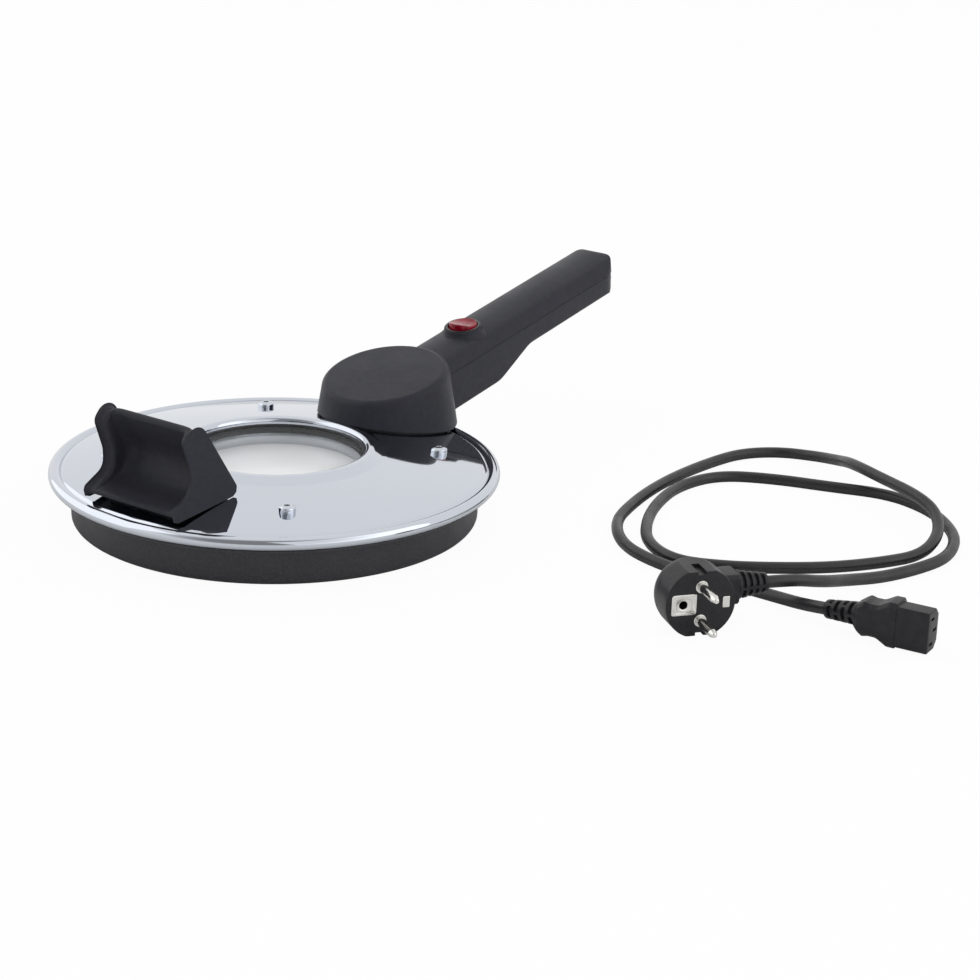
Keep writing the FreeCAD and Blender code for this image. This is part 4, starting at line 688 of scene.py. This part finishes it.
# Switch: a round black housing pressed into the collar, with a thin bezel, and a red translucent
# rocker with a dished top that rests with its rear side down. A lamp shines up through it.

SWITCH_R, WELL, BEZEL, PIVOT_UP, TILT = 10.4, 9.7, 11.2, 13.0, np.radians(-8.0)
DISH_R = 25.0

switch_black = finish(
    "switch_black", (0.014, 0.014, 0.016), 0.32,
    shade=((0.012, 0.012, 0.014), (0.017, 0.017, 0.019), 300.0), bump=(0.00002, 2600.0),
)
corners = [
    (0.0, -4.0), (SWITCH_R, -4.0), (SWITCH_R, 14.0), (BEZEL, 14.0), (BEZEL, 14.7), (WELL, 14.7),
    (WELL, 3.9), (0.0, 3.9),
]
housing = rounded(corners, [1e-4, 0.3, 0.1, 0.15, 0.45, 0.3, 0.3, 1e-4], 6)
grids = [(on_handle(housing, SWITCH_AT, 144), False, True)]
for blade_at in (-6.0, 0.0, 6.0):
    blade = [(2.4, -3.5), (2.4, -11.0), (-2.4, -11.0), (-2.4, -3.5)]
    grids += prism(blade, SWITCH_AT + blade_at - 0.4, SWITCH_AT + blade_at + 0.4)
put("switch_housing", grids, switch_black, "lid", ["switch_body"])

rocker_red = finish(
    "rocker_red", (0.26, 0.002, 0.016), 0.08, shade=((0.17, 0.001, 0.010), (0.32, 0.004, 0.022), 90.0),
    bump=(0.0006, 160.0), Specular_IOR_Level=0.25,
)


def rocker_grid(steps=144):
    """Round cap with a dished top. The dish is part of a cylinder of radius 25 mm across the
    rocker, under the cap's flat ends, and the whole cap is turned about the pivot."""
    angle = np.linspace(0, 2 * np.pi, steps, endpoint=False)

    def top(radius):
        reach = np.minimum(abs(radius * np.sin(angle)), 24.0)
        return np.minimum(4.2, 2.7 + DISH_R - np.sqrt(DISH_R ** 2 - reach ** 2))

    rim, dish = 9.0, 6.8
    flat, nothing = np.ones(steps), np.zeros(steps)
    corners = np.array([
        (nothing, nothing - 3.2), (rim * flat, nothing - 3.2), (rim * flat, top(rim)),
        (dish * flat, top(dish)), (nothing, top(0.0)),
    ])
    section = rounded(corners.transpose(2, 0, 1), [1e-4, 0.4, 0.75, 0.01, 0.01], 8)[:, :24]
    radius, height = section[..., 0].T, section[..., 1].T
    inner = np.linspace(dish, 0.0, 16)[:, None]
    radius = np.concatenate([radius, inner * flat])
    height = np.concatenate([height, top(inner)])
    x, along = radius * np.cos(angle), radius * np.sin(angle)
    turned_along = along * np.cos(TILT) - height * np.sin(TILT)
    turned_up = along * np.sin(TILT) + height * np.cos(TILT)
    return handle_place(x, SWITCH_AT + turned_along, PIVOT_UP + turned_up)


put("rocker_cap", [(rocker_grid(), False, True)], rocker_red, "rocker", ["rocker"])

lamp_clear = finish(
    "lamp_clear", (0.95, 0.80, 0.70), 0.08, rough=(0.04, 0.12, 300.0), Transmission_Weight=0.9, IOR=1.47,
)
finish_node(lamp_clear, "indicator_lamp")

ceramic = finish(
    "ceramic", (0.86, 0.85, 0.81), 0.55, shade=((0.83, 0.82, 0.77), (0.89, 0.88, 0.85), 260.0, 4.0),
    bump=(0.00005, 1800.0),
)
finish_node(ceramic, "terminal_block")

wire_sheath = finish(
    "wire_sheath", (0.78, 0.76, 0.70), 0.7, shade=((0.70, 0.68, 0.61), (0.84, 0.82, 0.77), 700.0, 4.0),
    bump=(0.00008, 2200.0),
)
finish_node(wire_sheath, "inner_wires")

brass = finish(
    "brass", (0.72, 0.55, 0.28), 0.25, shade=((0.66, 0.50, 0.25), (0.78, 0.60, 0.31), 500.0, 3.0),
    Metallic=1.0,
)
finish_node(brass, "inlet_pins", "socket_contacts")

# Plug: a round mains plug moulded in black rubbery plastic, standing on a flat of its rim. A neck
# behind it turns the cord aside through a slotted strain relief. Its two round pins, the square
# earth plate round the earth hole and the small earth tab are nickelled brass.

PLUG_PLACE = (294.6, 2.2, 18.0), np.radians(53.1)
PLUG_R, PLUG_FLAT, PLUG_DEPTH, PLUG_BACK, BACK_R = 19.6, 18.0, 15.0, 31.5, 10.0
NECK_Y, NECK_HALF, NECK_END = 22.0, 8.5, 28.0
PIN_Z, PIN_R, PIN_LENGTH, EARTH_X, EARTH_R = 9.5, 2.4, 19.0, -10.0, 2.4

lead_black = finish(
    "lead_black", (0.016, 0.016, 0.018), 0.4,
    shade=((0.013, 0.013, 0.015), (0.019, 0.019, 0.022), 220.0, 3.0), rough=(0.34, 0.44, 50.0),
    bump=(0.00003, 2400.0), Specular_IOR_Level=0.25,
)

nickel = finish(
    "nickel", (0.70, 0.69, 0.66), 0.16, shade=((0.66, 0.65, 0.62), (0.74, 0.73, 0.70), 350.0, 3.0),
    rough=(0.12, 0.22, 90.0), Metallic=1.0,
)


def laid(grid, at, turn, rows_close=False):
    """Grid of a lead piece's own frame, turned about the vertical and moved to its place, with
    whether its rows and columns close."""
    x = at[0] + grid[..., 0] * np.cos(turn) - grid[..., 1] * np.sin(turn)
    y = at[1] + grid[..., 0] * np.sin(turn) + grid[..., 1] * np.cos(turn)
    return np.stack([x, y, at[2] + grid[..., 2]], axis=-1), rows_close, True


def about_y(outline, steps=96, x=0.0, z=0.0):
    """Lathe of (radius, y) about an axis that runs along the plug's own y."""
    outline = np.asarray(outline, float)
    angle = np.linspace(0, 2 * np.pi, steps, endpoint=False)
    radius, y = outline[:, :1], outline[:, 1:] + 0 * angle
    return np.stack([x + radius * np.cos(angle), y, z + radius * np.sin(angle)], axis=-1)


def loft_x(section, x):
    """Closed form of stacked (y, z) sections, one at each x, with both ends drawn to a point."""
    ends = [np.broadcast_to(line.mean(axis=0), line.shape) for line in (section[0], section[-1])]
    rows = np.concatenate([ends[0][None], section, ends[1][None]])
    x = np.concatenate([x[:1], x, x[-1:]])
    return np.concatenate([np.broadcast_to(x[:, None, None], rows.shape[:2] + (1,)), rows], axis=-1)


def box_grid(low, high):
    """Closed box between two corners."""
    low, high = np.array(low, float), np.array(high, float)
    side = np.array([(low[1], low[2]), (high[1], low[2]), (high[1], high[2]), (low[1], high[2])])
    return loft_x(np.stack([side, side]), np.array([low[0], high[0]]))


def plug_drum(steps=320):
    """Drum of the plug: a lathe whose rounded back is an arc, with its height cut off above and
    below at the two flats."""
    across, deep = PLUG_R - BACK_R, PLUG_BACK - PLUG_DEPTH
    bend = (across ** 2 + deep ** 2) / (2 * across)
    turn = np.linspace(0, np.arctan2(deep, bend - across), 22)
    arc = np.stack([PLUG_R - bend * (1 - np.cos(turn)), PLUG_DEPTH + bend * np.sin(turn)], 1)
    face = [(0.0, 0.0), (PLUG_R, 0.0), (PLUG_R, 8.0), (0.0, 8.0)]
    rear = [(0.0, 0.0), arc[-2], (BACK_R, PLUG_BACK), (0.0, PLUG_BACK)]
    face_edge = rounded(face, [1e-4, 0.7, 0.1, 0.1], 8)[8:16]
    rear_edge = rounded(rear, [0.1, 0.1, 0.35, 0.1], 8)[16:24]
    outline = np.concatenate([face[:1], face_edge, [(PLUG_R, 6.0)], arc[:-1], rear_edge, rear[3:]])
    grid = about_y(outline, steps)
    grid[..., 2] = np.clip(grid[..., 2], -PLUG_FLAT, PLUG_FLAT)
    return grid


def slotted_relief(length, start_r, end_r, rows, bars, steps=128):
    """Tapered sleeve along x with rows of slots round it. The radius falls evenly, and is less by
    the slot's depth between two thin bars that bridge each row. Each row's bars stand at the
    angles given for it."""
    x = np.linspace(0, length, int(length / 0.14))
    angle = np.linspace(0, 2 * np.pi, steps, endpoint=False)
    radius = (start_r + (end_r - start_r) * x / length)[:, None] + 0 * angle
    pitch = length / (rows + 0.55)
    for row in range(rows):
        middle = (row + 0.72) * pitch
        inside = np.clip((0.235 * pitch - abs(x - middle)) / 0.25 + 0.5, 0, 1)[:, None]
        off = abs((angle - bars[row % len(bars)] + np.pi / 4) % (np.pi / 2) - np.pi / 4)
        open_side = np.clip((off * radius - 1.0) / 0.3 + 0.5, 0, 1)
        radius = radius - 1.6 * inside * open_side
    ease = 0.6 * (1 - np.sqrt(1 - np.clip(1 - (length - x) / 0.6, 0, 1) ** 2))
    radius = radius - ease[:, None]
    section = np.stack([radius * np.cos(angle), radius * np.sin(angle)], axis=-1)
    return loft_x(section, x)


def neck_grid():
    """Neck behind the drum: a rounded square section along x with an eased end."""
    x = np.concatenate([[4.0], np.linspace(NECK_END - 1.2, NECK_END, 7)])
    ease = 1.2 * (1 - np.sqrt(1 - np.clip((x - NECK_END + 1.2) / 1.2, 0, 1) ** 2))
    half = NECK_HALF - ease
    signs = ((-1, -1), (1, -1), (1, 1), (-1, 1))
    corners = np.array([(NECK_Y + sy * half, sz * half) for sy, sz in signs])
    return loft_x(rounded(corners.transpose(2, 0, 1), 2.4, 8), x)


SIDES = (-1, 1)
cutters = [
    box_grid((-2.3, -1.0, side * PLUG_FLAT - 1.8), (2.3, 12.0, side * PLUG_FLAT + 1.8)) for side in SIDES
]
cutters.append(box_grid((12.2, -1.0, -3.1), (16.2, 9.0, 3.1)))
cutters.append(about_y([(0.0, -1.0), (EARTH_R, -1.0), (EARTH_R, 17.0), (0.0, 17.0)], 64, EARTH_X))
root = [(0.0, -1.0), (2.0, -1.0), (2.0, 8.0), (0.0, 8.0)]
cutters += [about_y(root, 48, 0.0, side * PIN_Z) for side in SIDES]
plug_meshes = [
    carve([laid(plug_drum(), *PLUG_PLACE)], [laid(grid, *PLUG_PLACE) for grid in cutters], 20.0),
    mesh_of("neck", [laid(neck_grid(), *PLUG_PLACE)], 30.0),
]
joined("plug_moulding", plug_meshes, lead_black, "pan", ["plug_body"], crease=20.0)

relief = slotted_relief(18.0, 8.2, 5.2, 4, (0.0,))
relief += (NECK_END, NECK_Y, 0.0)
put(
    "plug_sleeve", [laid(relief, *PLUG_PLACE)],
    lead_black, "pan", ["plug_relief"], crease=50.0,
)

pin_end = -PIN_LENGTH - 2.4
pin_line = rounded([
    (0.0, 8.0), (2.0, 8.0), (2.0, -0.05), (PIN_R, -0.05), (PIN_R, 1.2 - PIN_LENGTH), (1.25, pin_end),
    (0.0, pin_end),
], [1e-4, 0.2, 0.05, 0.05, 2.2, 0.9, 1e-4], 8)
ring_line = rounded([(PIN_R, -0.45), (3.5, -0.45), (3.5, 0.0), (PIN_R, 0.0)], [0.05, 0.3, 0.02, 0.05], 6)
grids = []
for side in SIDES:
    grids.append(laid(about_y(pin_line, 64, 0.0, side * PIN_Z), *PLUG_PLACE))
    grids.append(laid(about_y(ring_line, 64, 0.0, side * PIN_Z), *PLUG_PLACE, True))
put("contact_pins", grids, nickel, "pan", ["plug_pins"])


def plate_ring(middle, half_x, half_z, inset, steps=160):
    """Rounded rectangle about a middle point, as seen from the earth hole. Its distance in each
    direction is the twelfth-power mean of the distances to its two pairs of sides."""
    angle = np.linspace(0, 2 * np.pi, steps, endpoint=False)
    wide, tall = half_x - inset, half_z - inset
    reach = ((abs(np.cos(angle)) / wide) ** 12 + (abs(np.sin(angle)) / tall) ** 12) ** (-1 / 12)
    return np.stack([middle + reach * np.cos(angle), reach * np.sin(angle)], axis=-1)


def stacked(rows):
    """Grid of (x, z) outlines, each at its own y."""
    lines = [np.stack([line[:, 0], 0 * line[:, 0] + y, line[:, 1]], axis=-1) for line, y in rows]
    return np.stack(lines)


angle = np.linspace(0, 2 * np.pi, 160, endpoint=False)
around = np.stack([np.cos(angle), np.sin(angle)], axis=-1)
rows = [
    ((EARTH_X, 0.0) + (EARTH_R + wider) * around, y)
    for wider, y in ((0.0, 0.0), (0.0, -0.12), (0.25, -0.25))
]
rows += [
    (plate_ring(-9.5, 7.0, 5.8, inset), y)
    for inset, y in ((1.5, -0.25), (1.25, -0.5), (0.2, -0.5), (0.0, -0.3), (0.0, 0.0))
]
plate = stacked(rows)
tab = stacked([
    (plate_ring(14.2, 2.0, 3.1, inset), y)
    for inset, y in ((1.9, 9.0), (0.0, 9.0), (0.0, -0.3), (0.2, -0.5), (1.9, -0.5))
])
ends = [np.broadcast_to(tab[k].mean(axis=0), tab[k].shape)[None] for k in (0, -1)]
tab = np.concatenate([ends[0], tab, ends[1]])
grids = [laid(plate, *PLUG_PLACE, True), laid(tab, *PLUG_PLACE)]
put("earth_contacts", grids, nickel, "pan", ["plug_earth_contacts"])

# Connector: the lead's other end, moulded in the same black plastic and lying on its narrow side.
# A straight nose with three slots, a ridge and a waisted grip end in a drooping strain relief.

SOCKET_PLACE = (400.2, 61.2, 12.6), np.radians(6.0)


def side_line(points, radii, x):
    """Half width along the connector: a rounded polyline of (x, half), read at each x."""
    low, high = points[0][0], points[-1][0]
    line = rounded(list(points) + [(high, -40.0), (low, -40.0)], list(radii) + [0.1, 0.1], 10)
    line = line[: 10 * len(points)]
    order = np.argsort(line[:, 0], kind="stable")
    return np.interp(x, line[order, 0], line[order, 1])


def connector_grid():
    """Connector as rounded sections along x, from the shoulder to the end face. Its half height
    and half depth follow two rounded outlines, and the nose has two corners cut off."""
    runs = [np.linspace(-42.0, -17.0, 90), np.linspace(-18.7, -17.9, 10), np.linspace(-0.8, 0.0, 7)]
    x = np.unique(np.concatenate(runs + [[-9.0]]))
    high = side_line([
        (-42.0, 6.4), (-36.9, 9.9), (-33.6, 9.1), (-29.0, 9.2), (-23.0, 12.6), (-18.3, 12.6),
        (-18.05, 11.4), (0.0, 11.4),
    ], [0.1, 1.8, 3.0, 6.0, 3.2, 0.5, 0.15, 0.1], x)
    deep = side_line(
        [(-42.0, 6.4), (-39.5, 7.9), (-30.0, 7.6), (-18.3, 7.9), (-18.05, 7.2), (0.0, 7.2)],
        [0.1, 3.0, 6.0, 0.5, 0.15, 0.1], x,
    )
    ease = 0.8 * (1 - np.sqrt(1 - np.clip((x + 0.8) / 0.8, 0, 1) ** 2))
    high, deep = high - ease, deep - ease
    nose = np.clip((x + 18.3) / 0.3, 0, 1)
    near, off = 2.2 - 1.5 * nose, 2.2 + 1.4 * nose
    corners = np.array([
        (-deep, near - high), (near - deep, -high), (deep - off, -high), (deep, off - high),
        (deep, high - off), (deep - off, high), (near - deep, high), (-deep, high - near),
    ])
    return loft_x(rounded(corners.transpose(2, 0, 1), 0.85, 5), x)


slots = []
for y, z in ((-2.0, -7.0), (-2.0, 7.0), (2.0, 0.0)):
    slot = box_grid((-14.0, y - 2.3, z - 0.8), (1.0, y + 2.3, z + 0.8))
    slots.append(laid(slot, *SOCKET_PLACE))
joined(
    "connector_moulding", [carve([laid(connector_grid(), *SOCKET_PLACE)], slots, 30.0)],
    lead_black, "pan", ["socket_body"], crease=30.0,
)

relief = slotted_relief(23.0, 6.6, 5.2, 4, (0.0, np.pi / 4))
turn, fall = np.radians(180.0 - 17.0), np.radians(10.5)
forward, height = relief[..., 0] - 3.0, relief[..., 2]
x = forward * np.cos(fall) + height * np.sin(fall)
z = height * np.cos(fall) - forward * np.sin(fall)
y = relief[..., 1]
x, y = x * np.cos(turn) - y * np.sin(turn) - 42.0, x * np.sin(turn) + y * np.cos(turn)
relief = np.stack([x, y, z], axis=-1)
put(
    "connector_sleeve", [laid(relief, *SOCKET_PLACE)],
    lead_black, "pan", ["socket_relief"], crease=50.0,
)

# Mains lead: a round black rubber-sheathed cord from the plug to the connector. It lies on the
# table in two loose loops, and passes once over itself.

cord_black = finish(
    "cord_black", (0.010, 0.010, 0.012), 0.38,
    shade=((0.008, 0.008, 0.010), (0.013, 0.013, 0.015), 160.0), rough=(0.32, 0.44, 70.0),
    bump=(0.00003, 1800.0),
)

CORD_D, LOW, OVER = 0.0069, 0.0035, 0.0174
route = [
    (0.30463, 0.05219, 0.0180), (0.3142, 0.0652, 0.0180), (0.3220, 0.0840, 0.0132), (0.3235, 0.1090, 0.0070),
    (0.3325, 0.1340, LOW), (0.3420, 0.1595, LOW), (0.3470, 0.1865, LOW), (0.3380, 0.2170, LOW),
    (0.3205, 0.2395, LOW), (0.2985, 0.2565, LOW), (0.2680, 0.2650, LOW), (0.2350, 0.2535, LOW),
    (0.1990, 0.2430, LOW), (0.1695, 0.2260, LOW), (0.1615, 0.1930, LOW), (0.1680, 0.1580, LOW),
    (0.1815, 0.1245, LOW), (0.2015, 0.0940, LOW), (0.2300, 0.0795, LOW), (0.2570, 0.0910, LOW),
    (0.2820, 0.1095, LOW), (0.3045, 0.1305, LOW), (0.3220, 0.1560, LOW), (0.3335, 0.1810, LOW),
    (0.3310, 0.2080, 0.0075), (0.3185, 0.2290, 0.0130), (0.3005, 0.2380, OVER), (0.2720, 0.2510, OVER),
    (0.2410, 0.2660, OVER), (0.2230, 0.2855, 0.0100), (0.2000, 0.2970, 0.0050), (0.1745, 0.2927, LOW),
    (0.1575, 0.2730, LOW), (0.1525, 0.2450, LOW), (0.1505, 0.2120, LOW), (0.1520, 0.1790, LOW),
    (0.1580, 0.1450, LOW), (0.1680, 0.1110, LOW), (0.1930, 0.0815, LOW), (0.2240, 0.0700, LOW),
    (0.2515, 0.0685, LOW), (0.2760, 0.0700, LOW), (0.3005, 0.0690, 0.0038), (0.32465, 0.06338, 0.00622),
    (0.33913, 0.06056, 0.00896),
]
line = bpy.data.curves.new("lead_cord", "CURVE")
line.dimensions = "3D"
line.bevel_depth = CORD_D / 2
line.bevel_resolution = 7
line.resolution_u = 14
line.use_fill_caps = True
spline = line.splines.new("NURBS")
spline.points.add(len(route) - 1)
spline.points.foreach_set("co", np.c_[np.array(route), np.ones(len(route))].ravel())
spline.order_u = 3
spline.use_endpoint_u = True
line.materials.append(cord_black)
lead = linked("lead_cord", line)
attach(lead, "pan")
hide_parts("mains_cord")

# Table, studio and camera: a plain pale table under two soft lamps. The camera sees a near white
# table and room. Polished steel also sees a dim patch above the camera, and less light comes from
# the camera's side.

table_white = finish("table_white", (0.86, 0.86, 0.86), 0.9)
WHITE = (1.0, 1.0, 1.0, 1.0)
tree = table_white.node_tree
seen = node(tree, "LightPath").outputs["Is Camera Ray"]
mostly = node(tree, "Math", {0: seen, 1: 0.95}, operation="MULTIPLY")
glow = node(tree, "Emission", {"Color": WHITE, "Strength": 1.0})
plain = tree.nodes["Principled BSDF"].outputs["BSDF"]
mix = node(tree, "MixShader", {"Fac": mostly.outputs["Value"], 1: plain, 2: glow.outputs["Emission"]})
tree.links.new(mix.outputs["Shader"], tree.nodes["Material Output"].inputs["Surface"])

disc = turned([(0.0, 0.0), (1500.0, 0.0), (6000.0, 0.0)], 64)
table_mesh = mesh_of("table", [(disc[::-1], False, True)])
table_mesh.materials.append(table_white)
table = linked("table", table_mesh)

world = bpy.data.worlds.new("studio")
bpy.context.scene.world = world
world.use_nodes = True
tree = world.node_tree
tree.nodes.clear()
sky = node(tree, "TexCoord").outputs["Generated"]
path = node(tree, "LightPath").outputs


def maths(operation, first, second):
    """Result of one operation on two values."""
    return node(tree, "Math", {0: first, 1: second}, operation=operation).outputs["Value"]


def toward(direction, start, end, low, high):
    """Value that goes smoothly from low to high as the sky turns toward a direction."""
    facing = node(tree, "VectorMath", {0: sky, 1: direction}, operation="DOT_PRODUCT").outputs["Value"]
    sockets = {"Value": facing, "From Min": start, "From Max": end, "To Min": low, "To Max": high}
    return node(tree, "MapRange", sockets, interpolation_type="SMOOTHSTEP").outputs["Result"]


def background(strength):
    """White light of a strength."""
    return node(tree, "Background", {"Color": WHITE, "Strength": strength}).outputs["Background"]


patch = maths("MULTIPLY", toward((0.48, -0.66, 0.58), 0.55, 0.93, 0.0, 0.7), path["Is Glossy Ray"])
seen = background(maths("SUBTRACT", 1.0, patch))
soft = background(toward((0.58, -0.81, 0.10), 0.1, 0.95, 0.85, 0.5))
shown = maths("MAXIMUM", path["Is Camera Ray"], path["Is Glossy Ray"])
shown = maths("MAXIMUM", shown, path["Is Transmission Ray"])
mix = node(tree, "MixShader", {"Fac": shown, 1: soft, 2: seen})
node(tree, "OutputWorld", {"Surface": mix.outputs["Shader"]})


def soft_lamp(name, place, size, power):
    """A large square lamp that faces the pan."""
    light = bpy.data.lights.new(name, "AREA")
    light.shape = "SQUARE"
    light.size = size
    light.energy = power
    lamp = linked(name, light)
    lamp.location = place
    line = Vector((0.05, 0.05, 0.03)) - Vector(place)
    lamp.rotation_euler = line.to_track_quat("-Z", "Y").to_euler()


soft_lamp("left_lamp", (-2.3, -0.9, 1.1), 4.0, 24.0)
soft_lamp("right_lamp", (2.5, -0.2, 1.1), 4.0, 34.0)

view = bpy.data.cameras.new("camera")
view.lens = 88.163
view.sensor_width = 36.0
camera = linked("camera", view)
camera.matrix_world = Matrix((
    (0.80277, -0.21778, 0.55509, 0.8926), (0.59559, 0.24809, -0.76402, -1.0125),
    (0.02868, 0.94394, 0.32887, 0.486), (0.0, 0.0, 0.0, 1.0),
))
bpy.context.scene.camera = camera
bpy.context.scene.view_settings.view_transform = "Standard"
